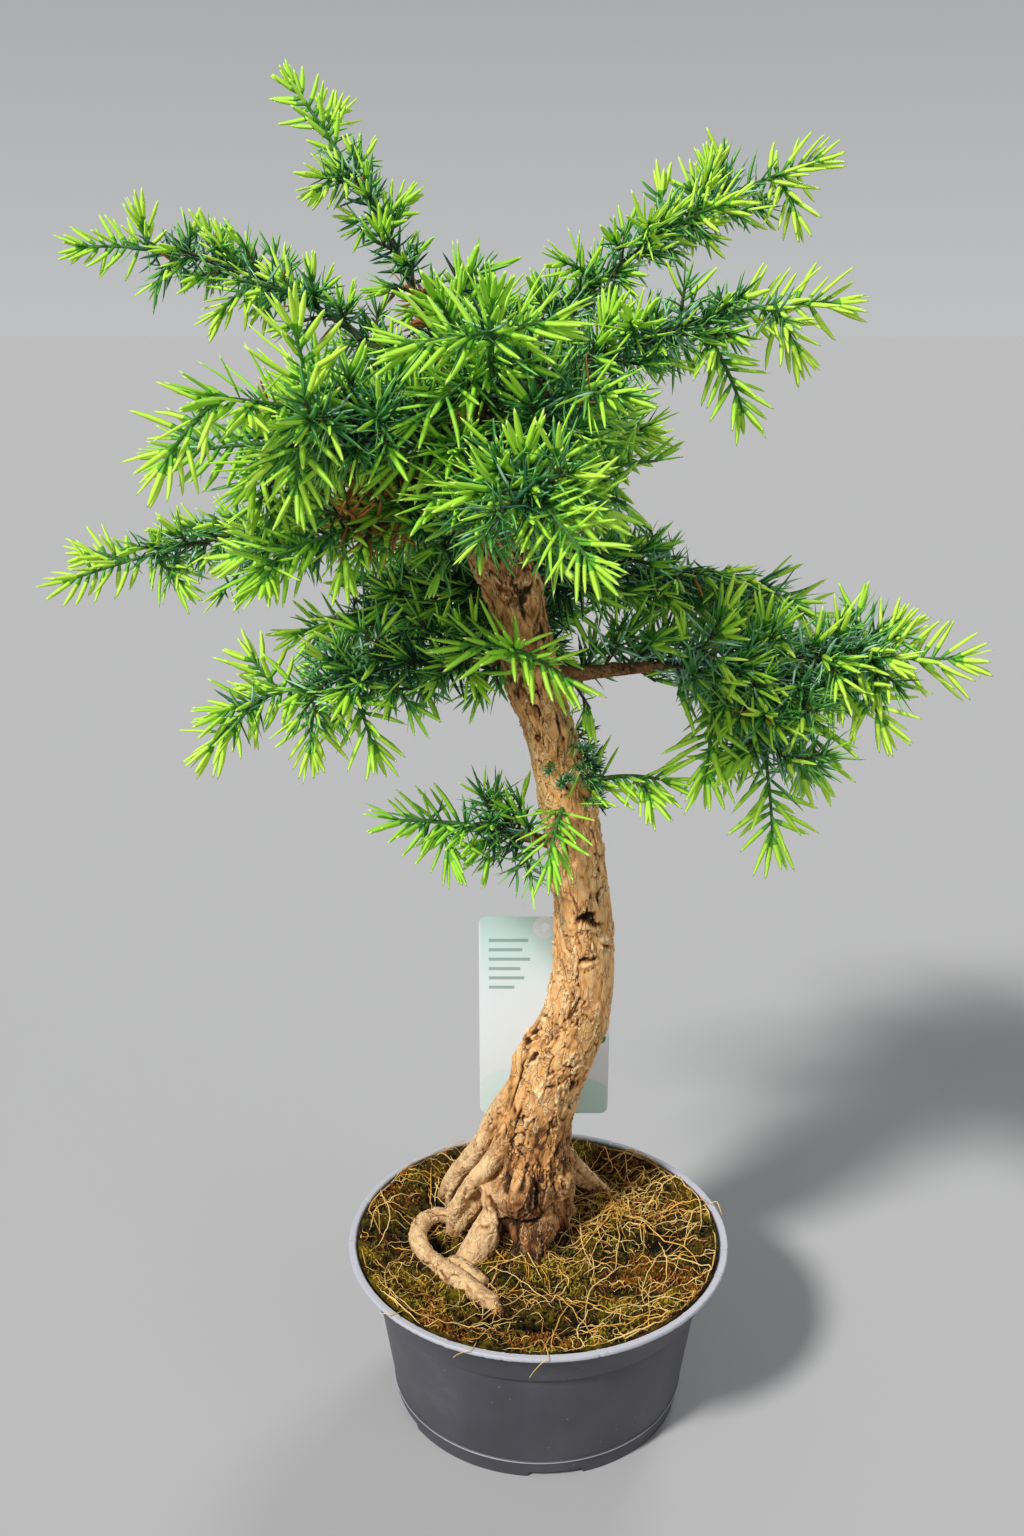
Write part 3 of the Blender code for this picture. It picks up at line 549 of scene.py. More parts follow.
def show(piece: bpy.types.Object, slot: str, *nodes: str) -> None:
    """Makes a piece ride on the plant and hides the nodes that it stands for."""
    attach(piece, "root")
    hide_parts(*nodes)
    LOG.info("%s: %d faces", piece.name, len(piece.data.polygons))


def unit(vectors: Array) -> Array:
    """The vectors at length 1."""
    return vectors / np.maximum(np.linalg.norm(vectors, axis=-1, keepdims=True), 1e-12)


def smooth_step(values: Array, low: float, high: float) -> Array:
    """The step 3t^2 - 2t^3 from 0 at low to 1 at high."""
    t = np.clip((values - low) / (high - low), 0.0, 1.0)
    return t * t * (3 - 2 * t)


def grid_faces(rows: int, columns: int, wraps: bool) -> Array:
    """The quads of a grid of points.

    Args:
        rows: How many rows of points.
        columns: How many points a row.
        wraps: Whether the last column joins the first.

    Returns:
        Four point numbers a quad.
    """
    row = np.arange(rows - 1)[:, None] * columns
    column = np.arange(columns if wraps else columns - 1)[None]
    after = (column + 1) % columns
    return np.stack([row + column, row + after, row + columns + after, row + columns + column], -1)


def end_fans(rows: int, columns: int) -> Array:
    """The triangles that close a grid of rings, round the two points that follow its own."""
    first = np.arange(columns)
    after = (first + 1) % columns
    last = (rows - 1) * columns
    pole = np.full(columns, rows * columns)
    return np.vstack([
        np.stack([after, first, pole], -1), np.stack([last + first, last + after, pole + 1], -1),
    ])


def ring_angles(count: int) -> Array:
    """Angles evenly round a circle."""
    return np.arange(count) * math.tau / count


def round_points(radius: Array | float, angle: Array, height: Array | float) -> Array:
    """Points at a radius, an angle and a height."""
    return np.stack(np.broadcast_arrays(radius * np.cos(angle), radius * np.sin(angle), height), -1)


def spokes(side: Array, up: Array, count: int) -> Array:
    """Directions evenly round a line at each of its points: cos a * side + sin a * up."""
    angle = ring_angles(count)[:, None]
    return np.cos(angle) * side[..., None, :] + np.sin(angle) * up[..., None, :]


def distances(first: Array, second: Array) -> Array:
    """The distance from each point of one set to each of another."""
    return np.linalg.norm(first[:, None] - second[None], axis=2)


def lengths_along(line: Array) -> Array:
    """How far along a line each of its points lies."""
    return np.concatenate([[0.0], np.cumsum(np.linalg.norm(np.diff(line[:, :3], axis=0), axis=1))])


def bell(values: Array, width: float) -> Array:
    """The bell curve exp(-(v / width)^2)."""
    return np.exp(-((values / width) ** 2))


def frames_along(line: Array) -> tuple[Array, Array, Array]:
    """The direction of one or more lines at each point, and two directions square to it.

    Args:
        line: Points, the last two axes being the steps and x, y, z.

    Returns:
        The tangent, a direction square to it and the cross product of the two.
    """
    tangent = unit(np.gradient(line, axis=-2))
    flat = np.abs(tangent).reshape(-1, 3).max(axis=0)
    guide = np.eye(3)[int(np.argmax(flat < 0.9)) if (flat < 0.9).any() else 2]
    side = unit(guide - (tangent @ guide)[..., None] * tangent)
    return tangent, side, np.cross(tangent, side)


def tube(line: Array, radii: Array, sides: int) -> tuple[Array, Array, Array]:
    """A closed tube: at each step a ring of radius r, p + r(cos a * side + sin a * up).

    Args:
        line: Its centre line.
        radii: One radius a step, or one for each step and side.
        sides: How many sides.

    Returns:
        The points, the quads between the rings and the triangles that close its ends.
    """
    _, side, up = frames_along(line)
    radii = radii if radii.ndim == 2 else radii[:, None]
    rings = line[:, None] + radii[..., None] * spokes(side, up, sides)
    points = np.vstack([rings.reshape(-1, 3), line[:1], line[-1:]])
    return points, grid_faces(len(line), sides, True), end_fans(len(line), sides)


# Noise worked out on whole arrays


def scatter(cells: Array, seed: int) -> Array:
    """A number from 0 to 1 for each whole-number cell, by mixing the bits of x, y, z and seed."""
    whole = cells.astype(np.int64)
    mixed = whole[..., 0] * 73856093 ^ whole[..., 1] * 19349663 ^ whole[..., 2] * 83492791
    mixed = (mixed + seed * 668265263) & 0xFFFFFFFF
    for shift, factor in ((15, 2246822519), (13, 3266489917), (16, 668265263)):
        mixed = ((mixed ^ (mixed >> shift)) * factor) & 0xFFFFFFFF
    return mixed / float(0xFFFFFFFF)


def value_noise(points: Array, seed: int) -> Array:
    """Numbers at the corners of unit cells, mixed with smooth steps along x, y and z, less 0.5."""
    base = np.floor(points)
    share = points - base
    share = share * share * (3 - 2 * share)
    total = np.zeros(points.shape[:-1])
    for corner in np.ndindex(2, 2, 2):
        weight = np.prod(np.where(np.array(corner) == 1, share, 1 - share), axis=-1)
        total += weight * scatter(base + corner, seed)
    return total - 0.5


def fractal(points: Array, octaves: int, seed: int) -> Array:
    """Value noise summed over octaves, each twice as fine and half as strong."""
    total = np.zeros(points.shape[:-1])
    for octave in range(octaves):
        total += value_noise(points * 2.0**octave, seed + octave) / 2.0**octave
    return total


def nearest_cells(points: Array, seed: int) -> tuple[Array, Array, Array, Array]:
    """Cellular noise: one scattered centre for each unit cell.

    Args:
        points: Where it is read, in cells.
        seed: Which pattern.

    Returns:
        The distance to the nearest centre, how much further the second one is, the way from the
        nearest centre to the point, and the nearest cell's own number from 0 to 1.
    """
    base = np.floor(points)
    best = np.full(points.shape[:-1], 9.0)
    second = best.copy()
    way = np.zeros_like(points)
    own = np.zeros_like(best)
    for offset in np.ndindex(3, 3, 3):
        cell = base + (np.array(offset) - 1)
        centre = cell + np.stack([scatter(cell, seed + axis) for axis in range(3)], -1)
        gap = points - centre
        away = np.linalg.norm(gap, axis=-1)
        closer = away < best
        second = np.where(closer, best, np.minimum(second, away))
        best = np.where(closer, away, best)
        way = np.where(closer[..., None], gap, way)
        own = np.where(closer, scatter(cell, seed + 3), own)
    return best, second - best, way, own


# The plant's plan, as in the solids


class LinePoint(NamedTuple):
    """A point of a limb's centre line and the diameter there."""

    x: float
    y: float
    z: float
    diameter: float


class Knob(NamedTuple):
    """A swelling on the trunk: height, heading, how far it stands out and how wide it is."""

    height: float
    heading: float
    proud: float
    spread: float


class Root(NamedTuple):
    """A root that shows: where it leaves the trunk, where its foot is and how thick it is."""

    height: float
    foot_x: float
    foot_y: float
    thick: float
    foot_thick: float


class Spur(NamedTuple):
    """A side shoot: how far along the branch it leaves, its heading, rise and length."""

    along: float
    heading: float
    rise: float
    length: float


class Branch(NamedTuple):
    """A bare bough from the trunk, then a mass of needles that carries on along its curve.

    The heading changes by turn and the rise by lift, evenly, over the reach.
    """

    name: str
    height: float
    heading: float
    rise: float
    reach: float
    turn: float
    lift: float
    bare: float
    thick: float
    spurs: tuple = ()
    fillers: int = 2


TRUNK_LINE = (
    LinePoint(-0.0090, 0.0195, 0.0690, 0.0430),
    LinePoint(-0.0050, 0.0180, 0.1030, 0.0385),
    LinePoint(0.0000, 0.0150, 0.1450, 0.0360),
    LinePoint(0.0080, 0.0120, 0.1750, 0.0345),
    LinePoint(0.0185, 0.0080, 0.2040, 0.0320),
    LinePoint(0.0210, 0.0040, 0.2380, 0.0286),
    LinePoint(0.0180, 0.0000, 0.2800, 0.0261),
    LinePoint(0.0075, -0.0070, 0.3360, 0.0232),
    LinePoint(-0.0045, -0.0160, 0.3790, 0.0212),
    LinePoint(-0.0130, -0.0260, 0.4160, 0.0214),
    LinePoint(-0.0230, -0.0350, 0.4450, 0.0208),
    LinePoint(-0.0300, -0.0450, 0.4830, 0.0158),
    LinePoint(-0.0310, -0.0480, 0.4940, 0.0130),
)

KNOBS = (
    Knob(0.1780, -170.0, 0.0035, 0.0100),
    Knob(0.2570, -85.0, 0.0020, 0.0070),
    Knob(0.4200, -60.0, 0.0030, 0.0080),
    Knob(0.3700, -150.0, 0.0020, 0.0100),
    Knob(0.3150, -30.0, 0.0020, 0.0090),
)

ROOTS = (
    Root(0.1250, -0.0490, 0.0440, 0.0150, 0.0080),
    Root(0.1150, -0.0460, 0.0125, 0.0150, 0.0085),
    Root(0.1020, -0.0385, -0.0160, 0.0180, 0.0140),
    Root(0.1000, -0.0050, -0.0060, 0.0260, 0.0200),
    Root(0.1000, 0.0060, 0.0150, 0.0170, 0.0120),
    Root(0.1060, 0.0180, 0.0310, 0.0140, 0.0090),
    Root(0.1080, 0.0370, 0.0530, 0.0110, 0.0060),
    Root(0.1040, -0.0260, 0.0500, 0.0140, 0.0070),
)

CURLED_ROOT = (
    LinePoint(-0.0430, 0.0130, 0.0840, 0.0090),
    LinePoint(-0.0520, 0.0145, 0.0850, 0.0090),
    LinePoint(-0.0600, 0.0080, 0.0830, 0.0092),
    LinePoint(-0.0590, -0.0070, 0.0812, 0.0092),
    LinePoint(-0.0470, -0.0230, 0.0800, 0.0090),
    LinePoint(-0.0300, -0.0400, 0.0785, 0.0082),
    LinePoint(-0.0160, -0.0510, 0.0765, 0.0070),
)

SIDE_ROOT = (
    LinePoint(-0.0440, -0.0165, 0.0800, 0.0076),
    LinePoint(-0.0357, -0.0240, 0.0795, 0.0074),
    LinePoint(-0.0265, -0.0320, 0.0770, 0.0060),
)

BRANCHES = (
    Branch("leader_left", 0.486, 130, 60, 0.170, 22, -12, 0.030, 0.0062, (
        Spur(0.67, -130, -20, 0.030),
        Spur(0.53, 40, 40, 0.024),
    ), 1),
    Branch("upper_left", 0.476, 160, 50, 0.210, 0, -55, 0.035, 0.0062, (
        Spur(0.80, -130, 80, 0.015),
        Spur(0.60, -165, 60, 0.018),
        Spur(0.53, -160, -35, 0.032),
    )),
    Branch("upper_right", 0.483, 35, 50, 0.205, -20, -35, 0.032, 0.0062, (
        Spur(0.65, -70, 40, 0.026),
        Spur(0.53, -90, 15, 0.037),
        Spur(0.85, -30, -60, 0.028),
        Spur(0.40, -135, 20, 0.032),
    )),
    Branch("mid_right", 0.468, 0, 50, 0.170, 5, -55, 0.030, 0.0060, (
        Spur(0.78, 5, -50, 0.031),
        Spur(0.62, -15, -60, 0.048),
        Spur(0.47, -100, 20, 0.033),
    )),
    Branch("front_left", 0.466, -120, 25, 0.135, -40, -20, 0.025, 0.0056, (
        Spur(0.67, -115, 75, 0.040),
        Spur(0.90, 165, -45, 0.043),
        Spur(0.67, -130, -75, 0.038),
    )),
    Branch("front_top", 0.484, -70, 20, 0.085, -25, 45, 0.020, 0.0050, (
        Spur(0.70, -175, -5, 0.040),
        Spur(0.53, -150, -30, 0.045),
        Spur(0.70, -15, 15, 0.032),
    )),
    Branch("front_center", 0.452, -85, 30, 0.135, 30, -70, 0.025, 0.0054, (
        Spur(0.34, -130, -5, 0.049),
        Spur(0.55, -100, 60, 0.028),
    )),
    Branch("left_mid", 0.456, -160, 30, 0.135, -15, -45, 0.028, 0.0054, (
        Spur(0.60, -85, -70, 0.035),
    )),
    Branch("left_drop", 0.436, -140, 30, 0.120, -25, -70, 0.025, 0.0050, (
        Spur(0.58, -100, -60, 0.025),
        Spur(0.75, 155, -10, 0.040),
    )),
    Branch("left_thin", 0.446, 145, 0, 0.215, 40, -20, 0.035, 0.0050, (
        Spur(0.77, -25, -40, 0.029),
        Spur(0.82, 160, 10, 0.029),
    )),
    Branch("left_low", 0.385, 175, 0, 0.145, 20, -20, 0.030, 0.0060, (
        Spur(0.80, -170, -40, 0.043),
        Spur(0.63, -115, -75, 0.039),
        Spur(0.55, -35, -65, 0.044),
        Spur(0.75, 145, 40, 0.030),
    )),
    Branch("right_low", 0.375, 10, 5, 0.195, -20, -5, 0.055, 0.0066, (
        Spur(0.67, -25, -45, 0.046),
        Spur(0.60, -55, -75, 0.060),
        Spur(0.48, -45, -75, 0.091),
        Spur(0.42, -110, -70, 0.061),
        Spur(0.35, -120, -65, 0.062),
        Spur(0.77, 30, 45, 0.025),
    )),
    Branch("right_back", 0.415, 40, 10, 0.175, -30, -40, 0.032, 0.0054, (), 4),
    Branch("low_left", 0.290, 180, 20, 0.095, 20, -15, 0.025, 0.0042, (
        Spur(0.68, -45, -70, 0.027),
    )),
    Branch("right_inner", 0.459, -50, 55, 0.110, -15, -65, 0.028, 0.0046),
    Branch("right_small", 0.438, 15, 45, 0.090, 5, -50, 0.028, 0.0044),
    Branch("left_back_low", 0.416, 125, -10, 0.140, 45, -10, 0.030, 0.0050, (), 4),
    Branch("back_high", 0.480, 80, 45, 0.130, 10, -40, 0.030, 0.0054, (), 3),
    Branch("back_left", 0.465, 125, 20, 0.165, -10, -25, 0.032, 0.0054, (), 3),
    Branch("back_right", 0.462, 55, 15, 0.165, 10, -25, 0.032, 0.0054, (), 3),
    Branch("back_mid", 0.435, 100, 5, 0.145, -15, -25, 0.030, 0.0050, (), 3),
    Branch("back_low", 0.400, 85, -5, 0.150, 20, -20, 0.032, 0.0054, (), 3),
    Branch("inner_front", 0.4745, -98, 20, 0.058, 0, -35, 0.0, 0.0036, (
        Spur(0.60, -170, -15, 0.036),
        Spur(0.62, -50, -5, 0.030),
    ), 0),
    Branch("inner_left", 0.449, -138, 25, 0.062, -20, -50, 0.0, 0.0036, (
        Spur(0.60, 165, -5, 0.034),
    ), 0),
    Branch("inner_right", 0.450, -25, 25, 0.070, 20, -45, 0.0, 0.0036, (
        Spur(0.50, -75, -20, 0.032),
    ), 1),
    Branch("crown_top", 0.494, -30, 105, 0.055, -5, -30, 0.0, 0.0040, (
        Spur(0.43, -110, 40, 0.033),
    ), 1),
    Branch("trunk_spray", 0.376, -105, 30, 0.050, 0, 0, 0.0, 0.0036, (
        Spur(0.80, 185, 5, 0.030),
        Spur(0.80, -20, -25, 0.036),
    ), 0),
    Branch("hanging_spray", 0.315, -100, 15, 0.050, -15, -105, 0.0, 0.0036, (), 0),
    Branch("small_right", 0.319, -15, 35, 0.058, 0, -55, 0.0, 0.0036, (
        Spur(0.60, -60, -35, 0.022),
    ), 0),
)


def smooth_line(rows: Sequence[LinePoint], steps: int) -> Array:
    """Points on a cubic through the rows, whose slope at a row joins the rows on its two sides.

    Args:
        rows: The curve's own points.
        steps: How many steps lie between each two of them.

    Returns:
        One row of x, y, z and diameter a point.
    """
    known = np.array(rows, float)
    ends = np.vstack([2 * known[0] - known[1], known, 2 * known[-1] - known[-2]])
    t = (np.arange(steps) / steps)[:, None]
    spans = [
        (2 * t**3 - 3 * t**2 + 1) * start
        + (t**3 - 2 * t**2 + t) * (end - before) / 2
        + (3 * t**2 - 2 * t**3) * end
        + (t**3 - t**2) * (after - start) / 2
        for before, start, end, after in zip(ends, ends[1:], ends[2:], ends[3:])
    ]
    return np.vstack([*spans, known[-1:]])


def even_steps(rows: Array, step: float) -> Array:
    """The same line, with its other columns, at even steps near the length asked for."""
    along = lengths_along(rows)
    marks = np.linspace(0.0, along[-1], max(3, round(along[-1] / step) + 1))
    return np.stack([np.interp(marks, along, rows[:, column]) for column in range(rows.shape[1])], -1)


def trunk_at(height: float) -> Array:
    """The centre of the trunk at a height."""
    rows = smooth_line(TRUNK_LINE, 2)
    return np.array([
        np.interp(height, rows[:, 2], rows[:, 0]), np.interp(height, rows[:, 2], rows[:, 1]), height
    ])


def limb_path(start: Array, heading: float, rise: float, reach: float, turn: float, lift: float,
              steps: int) -> Array:
    """A line whose heading and rise change evenly from its root to its tip.

    Each step is reach / steps long, along (cos rise cos heading, cos rise sin heading, sin rise).

    Args:
        start: Its root.
        heading: The heading at its root, in degrees.
        rise: The rise at its root, in degrees.
        reach: Its length.
        turn: How far the heading changes, in degrees.
        lift: How far the rise changes, in degrees.
        steps: How many steps it has.

    Returns:
        The line's points.
    """
    share = (np.arange(steps) + 0.5) / steps
    level = np.radians(heading + turn * share)
    climb = np.radians(rise + lift * share)
    stride = round_points(np.cos(climb), level, np.sin(climb))
    return np.vstack([start, start + np.cumsum(stride * reach / steps, 0)])


# Bark, trunk and roots


@dataclass(frozen=True)
class BarkRelief:
    """How bark stands out: plates, curled ridges beside grooves, pits, slits and swellings.

    Sizes are in metres. Marks are stretch times as long as they are wide.
    """

    plate: float = 0.0085
    stretch: float = 2.2
    plate_step: float = 0.00048
    curl: float = 0.0046
    ridge: float = 0.00105
    groove: float = 0.00085
    fine: float = 0.00034
    swell: float = 0.0011
    slit_cell: float = 0.0090
    slit_depth: float = 0.0013
    slit_share: float = 0.22
    pit_cell: float = 0.0044
    pit_depth: float = 0.0007
    pit_share: float = 0.07
    warp_cell: float = 0.0065
    warp: float = 0.0045
    mask_cell: float = 0.0075
    grain_cell: float = 0.0017
    swell_cell: float = 0.018
    slit_stretch: float = 6.0
    slit_warp: float = 0.0012
    rim_weight: float = 0.7

    def read(self, around: Array, along: Array, seed: int) -> tuple[Array, Array]:
        """Works out the relief.

        A ridge follows each line where a warped noise is 0, and a groove runs beside it. A mask
        breaks both into short pieces.

        Args:
            around: Points on the limb's mean circle, x and y in metres.
            along: The distance along the limb, in metres.
            seed: Which pattern.

        Returns:
            How far the bark stands out, in metres, and its colour level from 0, dark, to 1.
        """
        where = np.concatenate([around, (along / self.stretch)[..., None]], -1)
        cells = where / self.warp_cell
        warp = np.stack([fractal(cells + 7.0 * axis, 2, seed + axis) for axis in range(3)], -1)
        bent = where + warp * self.warp
        _, edge, way, own = nearest_cells(bent / self.plate, seed + 10)
        tilt = np.cos(own * math.tau) * way[..., 0] + np.sin(own * math.tau) * way[..., 2] + 0.7 * (own - 0.5)
        rim = bell(edge, 0.06)
        flow = fractal(bent / self.curl, 3, seed + 20)
        mask = smooth_step(fractal(where / self.mask_cell, 2, seed + 30), -0.14, 0.04)
        ridge = bell(flow, 0.050) * mask
        groove = bell(flow - 0.115, 0.055) * mask
        grain = fractal(bent / self.grain_cell, 3, seed + 40)
        slit_at = np.concatenate([around, (along / self.slit_stretch)[..., None]], -1) + warp * self.slit_warp
        slit_away, _, _, slit_own = nearest_cells(slit_at / self.slit_cell, seed + 50)
        slit = np.exp(-((slit_away / 0.075) ** 4)) * (slit_own < self.slit_share)
        pit_away, _, _, pit_own = nearest_cells(where / self.pit_cell, seed + 60)
        pit = np.exp(-((pit_away / 0.14) ** 4)) * (pit_own < self.pit_share)
        swell = fractal(where / self.swell_cell, 2, seed + 70)
        height = (
            self.swell * swell + self.plate_step * (tilt - self.rim_weight * rim) + self.ridge * ridge
            - self.groove * groove + self.fine * grain - self.slit_depth * slit - self.pit_depth * pit
        )
        # The level lightens the ridges and the raised sides of plates, and darkens the grooves, plate rims,
        # slits and pits: partly the bark's own tones, partly painted highlight and painted shade.
        level = 0.57 + 0.16 * tilt + 0.46 * ridge - 0.40 * groove + 0.40 * grain + 0.12 * swell
        level = level - 0.12 * rim - 0.60 * slit - 0.6 * pit
        return height, np.clip(level, 0.0, 1.0)


class Mark(NamedTuple):
    """A dent or ridge on the trunk's skin: where it is, its half sizes, its depth and tint."""

    height: float
    heading: float
    half_width: float
    half_height: float
    depth: float
    tint: float
    slant: float = 0.0


TRUNK_MARKS = (
    Mark(0.2612, -84, 0.0044, 0.0021, 0.0030, 1.0, 0.25),
    Mark(0.2588, -76, 0.0052, 0.0008, 0.0016, 0.8, -0.3),
    Mark(0.2622, -98, 0.0020, 0.0009, 0.0012, 0.7, 0.5),
    Mark(0.2560, -84, 0.0030, 0.0010, -0.0012, -0.2),
    Mark(0.2400, -84, 0.0042, 0.0008, 0.0018, 0.9, 0.1),
    Mark(0.2380, -82, 0.0044, 0.0009, -0.0010, -0.2, 0.2),
    Mark(0.2352, -80, 0.0036, 0.0006, 0.0008, 0.5, 0.25),
    Mark(0.2475, -38, 0.0050, 0.0014, -0.0014, -0.3, -0.7),
    Mark(0.2445, -36, 0.0052, 0.0007, 0.0012, 0.6, -0.7),
    Mark(0.2425, -40, 0.0050, 0.0009, -0.0010, -0.3, -0.7),
    Mark(0.4190, -60, 0.0040, 0.0018, 0.0022, 0.9, 0.4),
    Mark(0.4120, -75, 0.0008, 0.0050, 0.0010, 0.5),
    Mark(0.3950, -40, 0.0007, 0.0090, 0.0010, 0.5),
    Mark(0.3560, -60, 0.0007, 0.0070, 0.0010, 0.5),
    Mark(0.1830, -168, 0.0030, 0.0016, 0.0016, 0.8, 0.4),
    Mark(0.1640, -150, 0.0008, 0.0110, 0.0018, 0.8, -0.15),
    Mark(0.1660, -168, 0.0018, 0.0110, -0.0024, 0.2, -0.15),
    Mark(0.1460, -128, 0.0008, 0.0080, 0.0016, 0.9),
    Mark(0.1290, -112, 0.0008, 0.0060, 0.0015, 0.9),
    Mark(0.1700, -95, 0.0040, 0.0008, 0.0007, 0.4, 0.3),
)


class FootMark(NamedTuple):
    """A groove on the front of the trunk's foot: its two ends' x and z, half width and depth."""

    start: tuple[float, float]
    end: tuple[float, float]
    half_width: float
    depth: float


FOOT_MARKS = (
    FootMark((-0.0108, 0.1286), (-0.0171, 0.1118), 0.0011, 0.0040),
    FootMark((0.0022, 0.1314), (-0.0002, 0.1061), 0.0012, 0.0044),
    FootMark((-0.0251, 0.1062), (-0.0176, 0.0953), 0.0008, 0.0022),
    FootMark((-0.0176, 0.0953), (-0.0106, 0.0944), 0.0010, 0.0028),
    FootMark((-0.0106, 0.0944), (-0.0007, 0.0959), 0.0008, 0.0024),
    FootMark((-0.0007, 0.0959), (0.0042, 0.1010), 0.0008, 0.0018),
    FootMark((-0.0176, 0.0925), (-0.0160, 0.0800), 0.0020, 0.0040),
    FootMark((-0.0141, 0.1557), (-0.0161, 0.1391), 0.0005, 0.0014),
    FootMark((-0.0111, 0.1402), (-0.0121, 0.1324), 0.0005, 0.0012),
    FootMark((-0.0060, 0.1250), (-0.0080, 0.1150), 0.0005, 0.0010),
    FootMark((-0.0020, 0.1180), (-0.0040, 0.1060), 0.0005, 0.0010),
    FootMark((0.0080, 0.1300), (0.0070, 0.1120), 0.0007, 0.0018),
)

FOOT_LUMPS = (
    ((-0.0075, 0.0040, 0.1060), 0.0150),
    ((-0.0010, 0.0040, 0.0880), 0.0125),
    ((-0.0100, 0.0010, 0.0880), 0.0090),
    ((-0.0200, 0.0040, 0.1030), 0.0095),
    ((0.0090, 0.0120, 0.1080), 0.0110),
)

BUTTRESSES = (
    (
        LinePoint(-0.0060, 0.0170, 0.1620, 0.0150),
        LinePoint(-0.0190, 0.0170, 0.1400, 0.0140),
        LinePoint(-0.0279, 0.0220, 0.1210, 0.0120),
        LinePoint(-0.0376, 0.0300, 0.1036, 0.0100),
        LinePoint(-0.0459, 0.0380, 0.0895, 0.0070),
        LinePoint(-0.0509, 0.0420, 0.0770, 0.0055),
    ),
    (
        LinePoint(-0.0376, 0.0300, 0.1036, 0.0080),
        LinePoint(-0.0440, 0.0320, 0.0900, 0.0060),
        LinePoint(-0.0475, 0.0330, 0.0770, 0.0050),
    ),
    (
        LinePoint(-0.0120, 0.0090, 0.1400, 0.0130),
        LinePoint(-0.0226, 0.0055, 0.1225, 0.0100),
        LinePoint(-0.0317, 0.0065, 0.1105, 0.0085),
        LinePoint(-0.0390, 0.0090, 0.0975, 0.0078),
        LinePoint(-0.0445, 0.0125, 0.0780, 0.0065),
    ),
    (
        LinePoint(-0.0370, 0.0080, 0.1000, 0.0070),
        LinePoint(-0.0430, 0.0160, 0.0900, 0.0055),
        LinePoint(-0.0480, 0.0190, 0.0770, 0.0045),
    ),
    (
        LinePoint(0.0080, 0.0120, 0.1320, 0.0090),
        LinePoint(0.0125, 0.0095, 0.1200, 0.0065),
        LinePoint(0.0158, 0.0105, 0.1060, 0.0060),
        LinePoint(0.0165, 0.0120, 0.0930, 0.0045),
        LinePoint(0.0150, 0.0100, 0.0780, 0.0035),
    ),
    (
        LinePoint(0.0110, 0.0150, 0.1230, 0.0080),
        LinePoint(0.0221, 0.0250, 0.1060, 0.0065),
        LinePoint(0.0320, 0.0360, 0.0900, 0.0045),
        LinePoint(0.0400, 0.0450, 0.0770, 0.0035),
    ),
)


